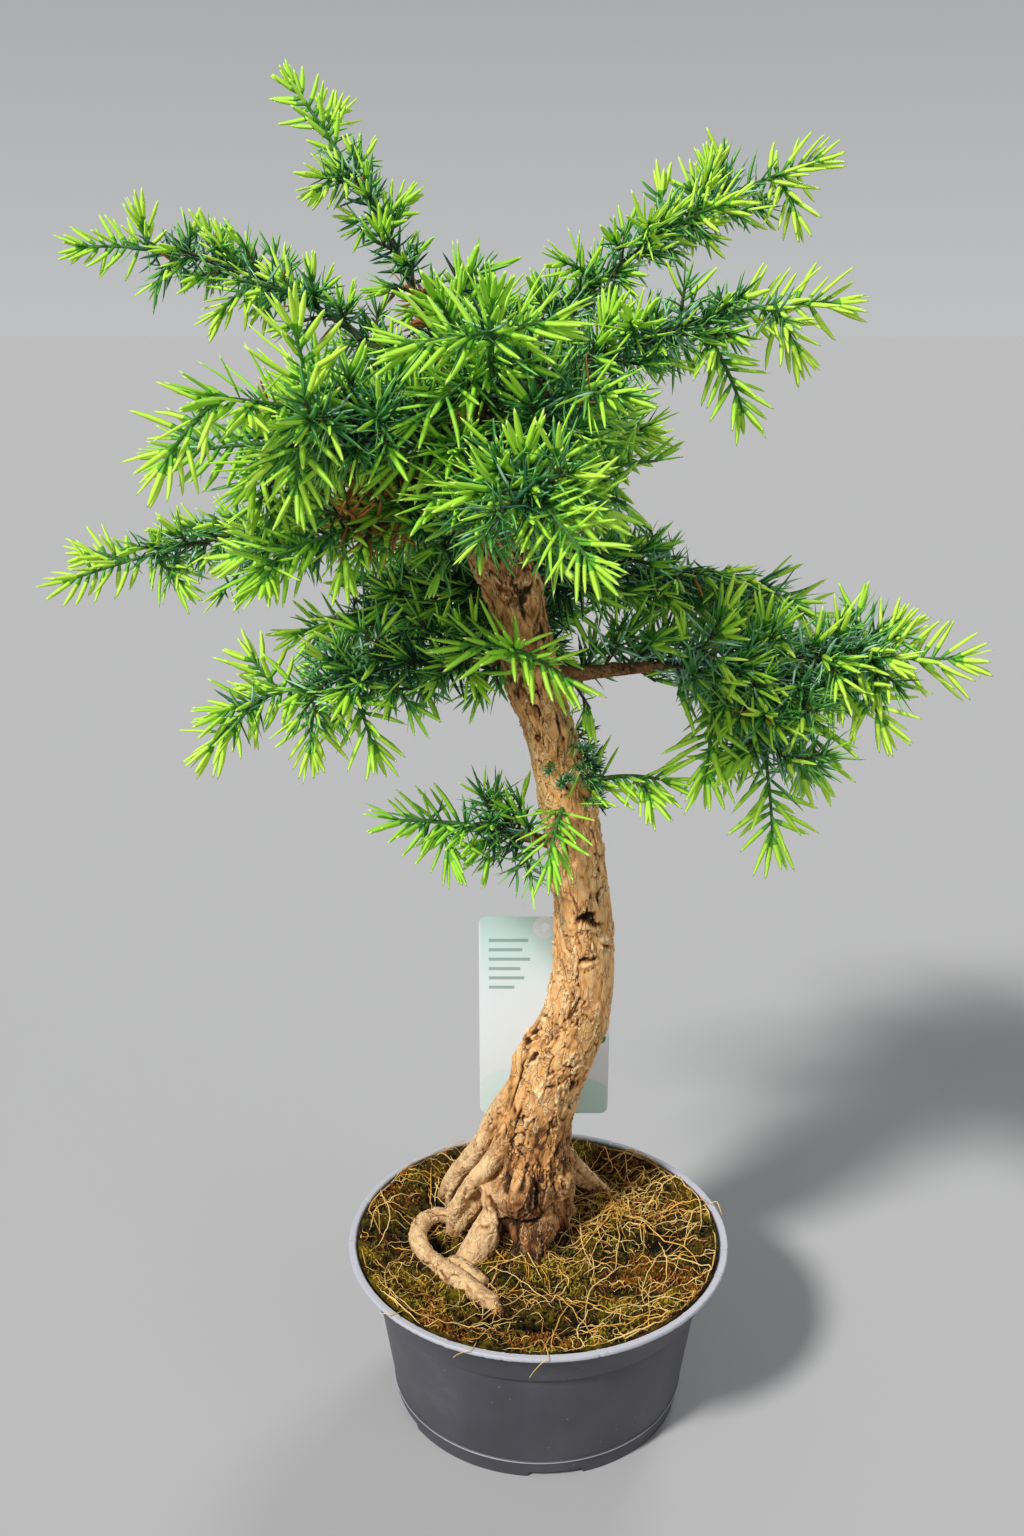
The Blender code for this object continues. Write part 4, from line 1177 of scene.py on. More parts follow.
@dataclass
class Trunk:
    """The trunk with its knots, and its foot with the roots that show, fused and rough with bark."""

    rows_step: float = 0.00102
    columns: int = 218
    mean_share: float = 0.985
    foot_top: float = 0.158
    foot_blend: float = 0.030
    voxel: float = 0.00072
    smooth_rounds: int = 10
    root_sides: int = 18
    root_step: float = 0.003
    root_sink: float = 0.006
    soil_top: float = 0.0765
    root_belly: float = 0.35
    thicker: float = 0.13
    thicker_from: tuple[float, float] = (0.355, 0.385)
    thicker_until: tuple[float, float] = (0.480, 0.462)
    foot_shade: float = 0.26
    foot_shade_heights: tuple[float, float] = (0.165, 0.130)
    crown_shade: float = 0.20
    crown_shade_heights: tuple[float, float] = (0.340, 0.385)
    groove_shade: float = 0.80
    soil_shade: float = 0.22
    stem_seed: int = 3
    root_seed: int = 60
    bark: BarkRelief = field(default_factory=BarkRelief)
    root_bark: BarkRelief = field(default_factory=lambda: BarkRelief(
        plate=0.0065, stretch=1.3, plate_step=0.00026, curl=0.0042, ridge=0.00040, groove=0.00050,
        fine=0.00036, swell=0.0022, slit_cell=0.012, slit_depth=0.0008, slit_share=0.25,
        pit_cell=0.0055, pit_depth=0.0006, pit_share=0.14,
    ))
    finish: FlakyBark = FlakyBark(
        "trunk_bark", (0.026, 0.010, 0.003), (0.280, 0.105, 0.030), (0.780, 0.400, 0.138),
        (1.000, 0.740, 0.400), (0.460, 0.155, 0.050), (0.840, 0.590, 0.320),
    )

    def grid(self, shape: Shape, rows: Array, columns: int, bark: BarkRelief, seed: int,
             more: Array | float = 0.0, shade: Array | float = 0.0, warmth: float = 0.0) -> None:
        """Adds one limb: at each step a ring of the limb's radius plus the bark's relief.

        Args:
            shape: What it is added to.
            rows: x, y, z and diameter at each step.
            columns: How many points lie on a ring.
            bark: The relief.
            seed: Which pattern of relief.
            more: What is added to the radius, for each step and column.
            shade: What is taken off the colour level, for each step and column.
            warmth: How red the bark is.
        """
        angle = ring_angles(columns)
        mean = rows[:, 3:] / 2
        along = lengths_along(rows)
        around = np.stack([mean * np.cos(angle), mean * np.sin(angle)], -1)
        height, level = bark.read(around, np.broadcast_to(along[:, None], around.shape[:2]), seed)
        points, quads, ends = tube(rows[:, :3], mean * self.mean_share + height + more, columns)
        level = np.clip(level - shade, 0.0, 1.0)
        poles = np.zeros(2)
        shape.add(
            points, ((quads, 0), (ends, 0)),
            relief=np.concatenate([level.ravel(), poles]),
            warmth=np.full(len(points), warmth),
            pale=np.zeros(len(points)),
        )

    def build_stem(self) -> None:
        """Makes the trunk, with its swellings and the marks on its skin."""
        rows = even_steps(smooth_line(TRUNK_LINE, 24), self.rows_step)
        height = rows[:, 2]
        thicker = self.thicker * smooth_step(height, *self.thicker_from)
        rows[:, 3] *= 1 + thicker * smooth_step(height, *self.thicker_until)
        angle = ring_angles(self.columns)
        more = np.zeros((len(rows), self.columns))
        shade = np.zeros_like(more)
        jitter = fractal(round_points(3, angle, rows[:, 2:3] / 0.004), 3, 90)
        for knob in KNOBS:
            across, up = self.skin_offsets(rows, angle, knob.height, knob.heading)
            bump = np.exp(-(across**2 + up**2) / knob.spread**2)
            more += knob.proud * bump * (1 + 0.9 * jitter)
        for mark in TRUNK_MARKS:
            across, up = self.skin_offsets(rows, angle, mark.height, mark.heading)
            up = up - mark.slant * across + 0.0022 * jitter * (mark.half_width > 0.002)
            away = (across / mark.half_width) ** 2 + (up / mark.half_height) ** 2
            dent = np.exp(-(away**1.5))
            more -= mark.depth * dent
            # The tint darkens most dents and lightens most raised marks: painted shade in the hollows and
            # painted highlight on the ridges, over the knots' own dark torn bark.
            shade += mark.tint * dent
        shade += self.foot_shade * smooth_step(rows[:, 2:3], *self.foot_shade_heights)
        # Painted shadow of the crown: the trunk is darkened where it runs up into the crown.
        shade += self.crown_shade * smooth_step(rows[:, 2:3], *self.crown_shade_heights)
        shape = Shape()
        self.grid(shape, rows, self.columns, self.bark, self.stem_seed, more, shade)
        show(shape.build("trunk_bark", [self.finish.material()]), "bark", "trunk")

    @staticmethod
    def skin_offsets(rows: Array, angle: Array, height: float, heading: float) -> tuple[Array, Array]:
        """How far each point of the skin lies round the trunk and above a spot, in metres."""
        turn = (angle - math.radians(heading) + math.pi) % math.tau - math.pi
        return turn[None] * rows[:, 3:] / 2, np.broadcast_to(rows[:, 2:3] - height, (len(rows), len(angle)))

    def root_rows(self, root: Root) -> Array:
        """A root's line: a curve from the trunk's middle that bends down and out to its foot."""
        start = trunk_at(root.height)
        foot = np.array([root.foot_x, root.foot_y, self.soil_top - self.root_sink])
        bend = start * self.root_belly + foot * (1 - self.root_belly)
        bend[2] = start[2] * (1 - self.root_belly) + foot[2] * self.root_belly
        t = np.linspace(0.0, 1.0, 40)[:, None]
        line = (1 - t) ** 2 * start + 2 * t * (1 - t) * bend + t**2 * foot
        return np.hstack([line, root.thick * (1 - t) + root.foot_thick * t])

    def foot_limbs(self) -> list[Array]:
        """The lines of the foot: the trunk's lower part, which narrows into it, then the roots."""
        rows = smooth_line(TRUNK_LINE, 24)
        rows = rows[rows[:, 2] < self.foot_top]
        sink = smooth_step(rows[:, 2], self.foot_top - self.foot_blend, self.foot_top)
        rows[:, 3] -= 0.0052 * sink - 0.0016 * (1 - sink)
        limbs = [rows, *(self.root_rows(root) for root in ROOTS)]
        limbs += [smooth_line(CURLED_ROOT, 12), smooth_line(SIDE_ROOT, 12)]
        limbs += [smooth_line(buttress, 12) for buttress in BUTTRESSES]
        return [even_steps(limb, self.root_step) for limb in limbs]

    def fuse(self, limbs: list[Array]) -> tuple[Array, Array]:
        """Fuses tubes and lumps into one skin of small even faces, and eases its creases.

        Args:
            limbs: The lines with their diameters.

        Returns:
            The points and the faces, four points each.
        """
        shape = Shape()
        for limb in limbs:
            points, quads, ends = tube(limb[:, :3], limb[:, 3] / 2, self.root_sides)
            shape.add(points, ((quads, 0), (ends, 0)))
        across = np.linspace(-0.98, 0.98, 11)
        for centre, radius in FOOT_LUMPS:
            line = np.array(centre) + across[:, None] * [0.0, 0.0, radius]
            wide = radius * np.sqrt(1 - across**2)
            points, quads, ends = tube(line, wide, self.root_sides)
            shape.add(points, ((quads, 0), (ends, 0)))
        raw = shape.build("foot_raw", [])
        modifier = raw.modifiers.new("fuse", "REMESH")
        modifier.mode = "VOXEL"
        modifier.voxel_size = self.voxel
        graph = bpy.context.evaluated_depsgraph_get()
        fused = bpy.data.meshes.new_from_object(raw.evaluated_get(graph))
        points = np.empty(len(fused.vertices) * 3, np.float32)
        fused.vertices.foreach_get("co", points)
        corners = np.empty(len(fused.loops), np.int32)
        fused.loops.foreach_get("vertex_index", corners)
        bpy.data.objects.remove(raw, do_unlink=True)
        bpy.data.meshes.remove(fused)
        return self.eased(points.reshape(-1, 3).astype(float), corners.reshape(-1, 4))

    def eased(self, points: Array, faces: Array) -> tuple[Array, Array]:
        """Moves each point half way to its neighbours' mean, over and over."""
        pairs = np.vstack([faces[:, [0, 1]], faces[:, [1, 2]], faces[:, [2, 3]], faces[:, [3, 0]]])
        first = np.concatenate([pairs[:, 0], pairs[:, 1]])
        second = np.concatenate([pairs[:, 1], pairs[:, 0]])
        count = np.bincount(first, minlength=len(points))[:, None]
        for _ in range(self.smooth_rounds):
            total = np.stack([
                np.bincount(first, weights=points[second, axis], minlength=len(points)) for axis in range(3)
            ], -1)
            points = (points + total / count) / 2
        return points, faces

    def build_foot(self) -> None:
        """Makes the foot: each point takes the bark of the limb that it lies nearest."""
        limbs = self.foot_limbs()
        points, faces = self.fuse(limbs)
        share = np.stack([self.closeness(points, limb)[0] for limb in limbs], -1)
        nearest = share.argmin(axis=1)
        around = np.zeros((len(points), 2))
        along = np.zeros(len(points))
        for number, limb in enumerate(limbs):
            mine = nearest == number
            _, own_around, own_along = self.closeness(points[mine], limb)
            around[mine] = own_around + 0.3 * number
            along[mine] = own_along
        front = smooth_step(-points[:, 1], 0.000, 0.010) * smooth_step(points[:, 0], -0.022, -0.012)
        pale = smooth_step(share[:, 0], 0.95, 1.5) * (1 - 0.9 * front)
        trunk_height, trunk_level = self.bark.read(around, along, self.stem_seed)
        root_height, root_level = self.root_bark.read(around, along, self.root_seed)
        height = trunk_height * (1 - pale) + root_height * pale
        level = trunk_level * (1 - pale) + root_level * pale
        sway = fractal(points / 0.006, 2, 95) * 0.0016
        for mark in FOOT_MARKS:
            start = np.array(mark.start)
            reach = np.array(mark.end) - start
            flat = points[:, [0, 2]] + sway[:, None] - start
            t = np.clip(flat @ reach / (reach @ reach), 0.0, 1.0)
            away = np.linalg.norm(flat - t[:, None] * reach, axis=1)
            dent = bell(away, mark.half_width) * smooth_step(-points[:, 1], -0.012, -0.004)
            height = height - mark.depth * dent
            # Each groove on the foot is darkened as painted shade in the crease.
            level = level - self.groove_shade * dent
        level = level - self.foot_shade * smooth_step(points[:, 2], *self.foot_shade_heights) * (1 - pale)
        low = smooth_step(points[:, 2], 0.128, 0.098)
        warmth = np.clip(low * front + 0.35 * low * (1 - pale), 0.0, 1.0)
        level = level - self.soil_shade * smooth_step(points[:, 2], self.soil_top + 0.008, self.soil_top)
        sheet = points + self.normals(points, faces) * height[:, None]
        shape = Shape()
        shape.add(sheet, ((faces, 0),), relief=np.clip(level, 0.0, 1.0), warmth=warmth, pale=pale)
        show(shape.build("surface_roots", [self.finish.material()]), "bark", "trunk")

    @staticmethod
    def normals(points: Array, faces: Array) -> Array:
        """The outward direction at each point, summed over its faces' diagonals' cross products."""
        corner = points[faces]
        flat = np.cross(corner[:, 2] - corner[:, 0], corner[:, 3] - corner[:, 1])
        total = np.zeros_like(points)
        for axis in range(3):
            total[:, axis] = np.bincount(
                faces.ravel(), weights=np.repeat(flat[:, axis], 4), minlength=len(points)
            )
        return unit(total)

    @staticmethod
    def closeness(points: Array, limb: Array) -> tuple[Array, Array, Array]:
        """Where points lie about a limb.

        Args:
            points: The points.
            limb: Its centre line with diameters.

        Returns:
            The distance to the line in radii, the point on the limb's mean circle, and the
            distance along it.
        """
        line = limb[:, :3]
        tangent, side, up = frames_along(line)
        steps = lengths_along(line)
        away = distances(points, line)
        near = away.argmin(axis=1)
        radius = limb[near, 3] / 2
        offset = points - line[near]
        ahead = (offset * tangent[near]).sum(axis=1)
        offset = offset - ahead[:, None] * tangent[near]
        angle = np.arctan2((offset * up[near]).sum(axis=1), (offset * side[near]).sum(axis=1))
        around = radius[:, None] * np.stack([np.cos(angle), np.sin(angle)], -1)
        return away.min(axis=1) / radius, around, steps[near] + ahead

    def build(self) -> None:
        """Makes the trunk and its foot."""
        self.build_stem()
        self.build_foot()


# Shoots and needles


class ShootKind(Enum):
    """What a shoot is, which sets how much of it is this year's growth."""

    STEM = "stem"
    SPUR = "spur"
    FILLER = "filler"
    TWIG = "twig"
    BURR = "burr"


class Shoot(NamedTuple):
    """One shoot: its branch's number, its line, its radius at the root and what it is."""

    mass: int
    line: Array
    root_radius: float
    kind: ShootKind


class Tone(IntEnum):
    """The needles' materials, in the order of their slots."""

    SPROUT_ROOT = 0
    SPROUT_A = 1
    SPROUT_B = 2
    SPROUT_C = 3
    SPROUT_TIP = 4
    YOUNG = 5
    YOUNG_TIP = 6
    OLD_A = 7
    OLD_B = 8
    OLD_C = 9
    BLOOM_A = 10
    BLOOM_B = 11
    DEAD = 12


NEEDLE_SKINS = (
    NeedleWax("sprout_root", (0.140, 0.450, 0.036), 0.40),
    NeedleWax("sprout_a", (0.360, 0.740, 0.050), 0.38),
    NeedleWax("sprout_b", (0.480, 0.850, 0.062), 0.38),
    NeedleWax("sprout_c", (0.600, 0.920, 0.085), 0.38),
    NeedleWax("sprout_tip", (0.700, 0.960, 0.180), 0.38),
    NeedleWax("young_needle", (0.085, 0.330, 0.072), 0.40),
    NeedleWax("young_tip", (0.250, 0.600, 0.110), 0.40),
    NeedleWax("old_a", (0.008, 0.055, 0.026), 0.38),
    NeedleWax("old_b", (0.030, 0.140, 0.070), 0.40),
    NeedleWax("old_c", (0.120, 0.330, 0.180), 0.42),
    NeedleWax("bloom_a", (0.250, 0.520, 0.340), 0.50),
    NeedleWax("bloom_b", (0.430, 0.730, 0.520), 0.52),
    NeedleWax("dead_needle", (0.560, 0.230, 0.055), 0.60),
)


@dataclass(frozen=True)
class NeedleForm:
    """A needle's section along its length: rings of a few corners, then a point.

    A ring at share t lies at root + length * (t * ahead + t^2 * curve). Its corners are in half
    widths across the needle and along its keel.
    """

    stations: tuple[float, ...]
    widths: tuple[float, ...]
    corners: tuple[tuple[float, float], ...]

    def solids(self, needles: dict[str, Array]) -> tuple[Array, Array, Array]:
        """Makes many needles at once.

        Args:
            needles: Where each is rooted and points, the way that its broad side faces, its
                length and width, and its curve as a share of its length.

        Returns:
            The points of each needle, its quads by ring and side, and its end triangles.
        """
        root, ahead, face = needles["root"], needles["ahead"], needles["face"]
        length, width, curve = needles["length"], needles["width"], needles["curve"]
        t = np.array(self.stations)
        across = unit(np.cross(ahead, face))
        keel = np.cross(across, ahead)
        stem = length[:, None, None] * (
            t[None, :, None] * ahead[:, None] + (t**2)[None, :, None] * curve[:, None]
        )
        centre = root[:, None] + stem
        half = width[:, None] * np.array(self.widths)[None] / 2
        corner = np.array(self.corners)
        offset = (
            corner[None, None, :, :1] * across[:, None, None]
            + corner[None, None, :, 1:] * keel[:, None, None]
        )
        rings = centre[:, :, None] + half[..., None, None] * offset
        tip = root + length[:, None] * (ahead + curve)
        sides = len(corner)
        count = len(t) * sides
        points = np.concatenate([rings.reshape(len(root), count, 3), tip[:, None]], 1)
        first = np.arange(len(root))[:, None, None] * (count + 1)
        quads = first[..., None] + grid_faces(len(t), sides, True)[None][..., ::-1]
        side = np.arange(sides)
        last = (len(t) - 1) * sides
        point = np.stack([last + (side + 1) % sides, last + side, np.full(sides, count)], -1)
        return points, quads, (first + point[None], first + side[None, None])


SPROUT_FORM = NeedleForm(
    (0.0, 0.26, 0.64, 0.90), (0.52, 0.96, 0.92, 0.50), ((1.0, 0.0), (0.0, 0.5), (-1.0, 0.0), (0.0, -0.4))
)
OLD_FORM = NeedleForm((0.0, 0.45, 0.82), (0.80, 1.0, 0.56), ((1.0, 0.0), (0.0, 0.55), (-1.0, 0.0)))


class NeedleAge(NamedTuple):
    """How this year's or older needles stand on a shoot.

    Lean is the angle off the shoot at its tip and how much more it grows to be, in degrees, and
    spread is how much it varies. Flat squeezes the needles into one plane, forward and lift bend
    them, and facing turns their broad side up.
    """

    length: float
    width: float
    flat: float
    lean: tuple[float, float]
    spread: float
    forward: tuple[float, float]
    lift: tuple[float, float]
    facing: float


NEW = NeedleAge(0.0205, 0.00250, 0.42, (20.0, 42.0), 7.0, (0.02, 0.24), (-0.04, 0.10), 1.6)
OLD = NeedleAge(0.0175, 0.00165, 0.95, (38.0, 38.0), 15.0, (-0.22, 0.34), (-0.18, 0.18), 0.5)
SPROUT_REACH = {ShootKind.STEM: 0.046, ShootKind.SPUR: 0.042, ShootKind.FILLER: 0.030}


class Habit(NamedTuple):
    """How a mass grows: its twigs' and needles' lengths and its new growth, as shares of the usual.

    Bloom is how much more of its old needles show their pale side.
    """

    twigs: float = 1.0
    needles: float = 1.0
    fresh: float = 1.0
    bloom: float = 0.0


HABITS = {
    "leader_left": Habit(0.52, 0.70, 0.65),
    "upper_left": Habit(0.56, 0.74, 0.60),
    "upper_right": Habit(0.64, 0.80, 0.6),
    "mid_right": Habit(0.74, 0.86, 0.75),
    "left_thin": Habit(0.54, 0.84, 0.65),
    "left_low": Habit(0.80, 0.94, 0.80),
    "low_left": Habit(0.80, 0.95, 0.8),
    "left_drop": Habit(0.75, 0.95, 0.7),
    "right_low": Habit(0.9, 1.08, 0.65, 0.46),
    "right_inner": Habit(1.0, 1.0, 0.35),
    "right_back": Habit(1.0, 1.0, 0.35),
    "right_small": Habit(0.9, 1.0, 0.50),
    "front_top": Habit(1.0, 1.0, 1.15),
    "crown_top": Habit(1.0, 1.0, 1.20),
    "front_center": Habit(1.0, 1.0, 1.10),
    "inner_left": Habit(1.2, 1.0, 0.45),
    "inner_right": Habit(1.1, 1.0, 0.45),
    "inner_front": Habit(1.25, 1.05, 0.70),
    "left_back_low": Habit(1.05, 0.95, 0.35),
    "back_low": Habit(1.0, 0.95, 0.50),
    "back_mid": Habit(1.0, 0.95, 0.50),
    "back_left": Habit(1.0, 1.0, 0.60),
}


class Gap(NamedTuple):
    """A gap in the crown where the sky or a bough shows, from the front back to y = back.

    Its middle is at x and z where y is 0, and it leans right and down as it goes back.
    """

    x: float
    z: float
    right: float
    down: float
    half_width: float
    half_height: float
    back: float = 1.0


@dataclass
class Crown:
    """Every shoot of the crown and its needles, by the same rule as the masses of the solids.

    The named side shoots and the seeded ones are those of the solids. Finer twigs then fill
    each mass within its own space.
    """

    path_step: float = 0.0025
    end_needle: float = 0.010
    spur_sag: float = -20.0
    shortest_spur: float = 0.010
    shoot_clear: float = 0.0065
    stem_clear: float = 0.0025
    root_free: float = 0.010
    stem_radius: float = 0.0017
    shoot_radius: float = 0.0011
    tip_radius: float = 0.0006
    filler_seed: int = 5
    filler_along: tuple[float, float] = (0.38, 0.86)
    filler_turn: tuple[float, float] = (38.0, 78.0)
    filler_drop: tuple[float, float] = (-38.0, 12.0)
    filler_share: float = 0.34
    filler_taper: float = 0.5
    filler_vary: tuple[float, float] = (0.8, 1.2)
    filler_tries: int = 8
    filler_shortest: float = 0.024
    twig_step: float = 0.0041
    twig_longest: float = 0.030
    twig_apart: float = 0.012
    twig_radius: float = 0.0008
    twig_sprouts: float = 0.02
    filler_sprouts: float = 0.30
    twig_clear: float = 0.003
    bough_twigs_from: float = 0.30
    bough_twig_clear: float = 0.001
    burr_shoots: int = 26
    burr_low: float = 0.316
    burr_high: float = 0.346
    burr_heading: float = -18.0
    burr_density: float = 2200.0
    old_density: float = 800.0
    sprout_density: float = 600.0
    tuft: int = 4
    trunk_clear: float = 0.0012
    seed: int = 11
    fewest_points: int = 4
    twig_swing: float = 0.4
    twig_lean: tuple[float, float] = (38.0, 66.0)
    twig_vary: tuple[float, float] = (0.5, 1.0)
    twig_sag: tuple[float, float] = (-1.0, 5.0)
    twig_sprout_reach: float = 0.012
    green_tip: float = 0.045
    dead_in_spot: float = 0.88
    dead_elsewhere: float = 0.015
    young_reach: float = 0.010
    bough_step: float = 0.0007
    bough_columns: int = 26
    bough_swell: float = 1.20
    collar_swell: float = 0.45
    collar_reach: float = 0.013
    bough_seed: int = 300
    bough_warmth: float = 0.35
    piece_limit: float = 163_400
    light: tuple[float, float, float] = (-0.28, -0.76, 0.59)
    dead_spots: tuple = (
        (-0.1060, -0.080, 0.4999, 0.018), (-0.0690, -0.030, 0.4590, 0.021), (-0.0534, -0.030, 0.5286, 0.010),
    )
    gaps: tuple = (
        Gap(0.0450, 0.3545, 0.091, 0.272, 0.0190, 0.0150),
        Gap(0.0405, 0.3726, 0.084, 0.242, 0.0200, 0.0070, -0.012),
        Gap(0.0560, 0.4547, 0.108, 0.113, 0.0190, 0.0130),
        Gap(0.0877, 0.4410, 0.158, 0.134, 0.0290, 0.0195),
    )
    shoots: list[Shoot] = field(default_factory=list)

    def __post_init__(self) -> None:
        """Works out the limbs' lines and radii, which shoots and needles keep clear of."""
        fine = smooth_line(TRUNK_LINE, 8)
        self.trunk_points = fine[:, :3]
        self.trunk_radii = fine[:, 3] / 2
        lines = []
        radii = []
        for branch in BRANCHES:
            count = round(branch.bare / self.path_step)
            if count:
                lines.append(self.branch_line(branch)[: count + 1])
                radii.append(self.bough_radii(branch, count + 1))
        self.bough_points = np.vstack(lines)
        self.bough_sizes = np.concatenate(radii)
        self.draw = np.random.default_rng(self.seed)

    def branch_line(self, branch: Branch) -> Array:
        """A branch's whole line, from the trunk's middle to its tip."""
        return limb_path(
            trunk_at(branch.height), branch.heading, branch.rise, branch.reach, branch.turn, branch.lift,
            round(branch.reach / self.path_step),
        )

    def bough_radii(self, branch: Branch, count: int) -> Array:
        """An even taper from the trunk to the foliage."""
        share = np.linspace(0.0, 1.0, count)
        return branch.thick / 2 * (1 - share) + (self.stem_radius + 0.0003) * share

    def room(self, points: Array) -> Array:
        """How far each point stands off the nearest limb's surface."""
        trunk = distances(points, self.trunk_points) - self.trunk_radii
        bough = distances(points, self.bough_points) - self.bough_sizes
        return np.minimum(trunk.min(axis=1), bough.min(axis=1))

    def stem(self, index: int, branch: Branch) -> Shoot:
        """The main shoot of a mass: the rest of its branch's line, short of its end needle."""
        line = self.branch_line(branch)
        first = round(branch.bare / self.path_step)
        trim = round(self.end_needle / self.path_step)
        return Shoot(index, line[first:-trim].copy(), self.stem_radius, ShootKind.STEM)

    def side_shoot(self, index: int, line: Array, spur: Spur, kind: ShootKind) -> Shoot:
        """A side shoot from a point on a branch's line."""
        start = line[round(spur.along * (len(line) - 1))]
        length = max(self.shortest_spur, spur.length - self.end_needle)
        steps = round(length / self.path_step)
        rise = spur.rise - self.spur_sag / 2
        path = limb_path(start, spur.heading, rise, length, 0.0, self.spur_sag, steps)
        return Shoot(index, path, self.shoot_radius, kind)

    def fits(self, shoot: Shoot, stem: Shoot) -> bool:
        """Whether a side shoot stays clear of every limb and of all other shoots, past its root."""
        line = shoot.line[round(self.root_free / self.path_step):]
        others = np.vstack([other.line for other in self.shoots if other is not stem])
        if distances(line, others).min() < self.shoot_clear:
            return False
        if distances(line, stem.line).min() < self.stem_clear:
            return False
        return bool(self.room(line).min() > self.shoot_clear / 2)

    def grow_main(self) -> None:
        """Grows the shoots of the solids: stems, named side shoots, then seeded ones."""
        self.shoots = [self.stem(index, branch) for index, branch in enumerate(BRANCHES)]
        stems = list(self.shoots)
        for index, branch in enumerate(BRANCHES):
            line = self.branch_line(branch)
            for spur in branch.spurs:
                made = self.side_shoot(index, line, spur, ShootKind.SPUR)
                if self.fits(made, stems[index]):
                    self.shoots.append(made)
        for index, branch in enumerate(BRANCHES):
            draw = random.Random(self.filler_seed * len(BRANCHES) + index)
            line = self.branch_line(branch)
            for number in range(branch.fillers):
                side = 1 if (number + index) % 2 else -1
                for _ in range(self.filler_tries):
                    spur = self.filler(branch, number, side, draw)
                    made = self.side_shoot(index, line, spur, ShootKind.FILLER)
                    if self.fits(made, stems[index]):
                        self.shoots.append(made)
                        break

    def filler(self, branch: Branch, number: int, side: int, draw: random.Random) -> Spur:
        """One try at a seeded side shoot: left and right in turn, longer near the root."""
        low, high = self.filler_along
        along = low + (high - low) * (number + draw.random()) / branch.fillers
        heading = branch.heading + branch.turn * along + side * draw.uniform(*self.filler_turn)
        rise = (branch.rise + branch.lift * along) / 2 + draw.uniform(*self.filler_drop)
        length = branch.reach * self.filler_share * (1 - self.filler_taper * along)
        length = max(self.filler_shortest, length * draw.uniform(*self.filler_vary))
        return Spur(along, heading, rise, length)

    def in_gap(self, points: Array) -> Array:
        """Whether each point lies in one of the gaps through the crown."""
        found = np.zeros(len(points), bool)
        x, y, z = points.T
        for gap in self.gaps:
            across = (x - gap.x - gap.right * y) / gap.half_width
            up = (z - gap.z + gap.down * y) / gap.half_height
            found |= (across**2 + up**2 < 1.0) & (y < gap.back)
        return found

    def open_gaps(self) -> None:
        """Ends each shoot where it would enter a gap, and drops those that start in one."""
        kept = []
        for shoot in self.shoots:
            inside = np.flatnonzero(self.in_gap(shoot.line))
            count = inside[0] if len(inside) else len(shoot.line)
            if count >= self.fewest_points:
                kept.append(shoot._replace(line=shoot.line[:count]))
        self.shoots = kept

    def grow_twigs(self) -> None:
        """Grows finer twigs on every shoot and on the outer part of each bare bough."""
        main = list(self.shoots)
        lines = np.vstack([shoot.line for shoot in main])
        owner = np.concatenate([np.full(len(shoot.line), shoot.mass) for shoot in main])
        for index, branch in enumerate(BRANCHES):
            if branch.bare > 0.0:
                count = round(branch.bare / self.path_step)
                bough = Shoot(index, self.branch_line(branch)[: count + 1], branch.thick / 2, ShootKind.TWIG)
                first = self.bough_twigs_from * branch.bare
                self.twigs_on(bough, first, branch.bare, self.bough_twig_clear, lines, owner, 1)
        for shoot in main:
            total = (len(shoot.line) - 1) * self.path_step
            last = total - self.sprout_reach(shoot) + 0.002
            self.twigs_on(shoot, 0.002, last, self.twig_clear, lines, owner, 1)

    def twigs_on(self, shoot: Shoot, first: float, last: float, clear: float, lines: Array, owner: Array,
                 order: int) -> None:
        """Grows the twigs of one shoot, which stay nearest their own mass and off the limbs.

        Each leaves its shoot at a golden angle from the last, leans ahead, then sags.

        Args:
            shoot: What they grow on.
            first: How far along it the first one leaves.
            last: Where they end.
            clear: How far they keep off the limbs.
            lines: The points of every main shoot.
            owner: The mass that each of those points belongs to.
            order: 1 for twigs, 2 for the shorter ones on them.
        """
        draw = self.draw
        habit = HABITS.get(BRANCHES[shoot.mass].name, Habit())
        step = self.twig_step * order / habit.needles
        _, side, up = frames_along(shoot.line)
        tangent = unit(np.gradient(shoot.line, axis=0))
        start_angle = draw.uniform(0.0, math.tau)
        for number, mark in enumerate(np.arange(first, last, step)):
            at = min(len(shoot.line) - 1, int(mark / self.path_step))
            angle = start_angle + number * GOLDEN_ANGLE + draw.uniform(-self.twig_swing, self.twig_swing)
            out = math.cos(angle) * side[at] + math.sin(angle) * up[at]
            lean = math.radians(draw.uniform(*self.twig_lean))
            way = math.cos(lean) * tangent[at] + math.sin(lean) * out
            length = self.twig_longest * habit.twigs / order * draw.uniform(*self.twig_vary)
            steps = max(self.fewest_points, round(length / self.path_step))
            t = np.arange(steps + 1)[:, None] * length / steps
            sag = np.array([0.0, 0.0, -1.0]) * draw.uniform(*self.twig_sag)
            line = shoot.line[at] + way * t + sag * t**2
            beyond = line[2:]
            gaps = distances(beyond, lines)
            own = np.where(owner == shoot.mass, gaps, np.inf).min(axis=1)
            strange = np.where(owner != shoot.mass, gaps, np.inf).min(axis=1)
            at_home = (strange > np.minimum(own * 0.8, self.twig_apart)).all()
            if at_home and self.room(beyond).min() > clear and not self.in_gap(beyond).any():
                made = Shoot(shoot.mass, line, self.twig_radius, ShootKind.TWIG)
                self.shoots.append(made)
                if order == 1:
                    self.twigs_on(made, 0.005, length - 0.003, clear, lines, owner, 2)

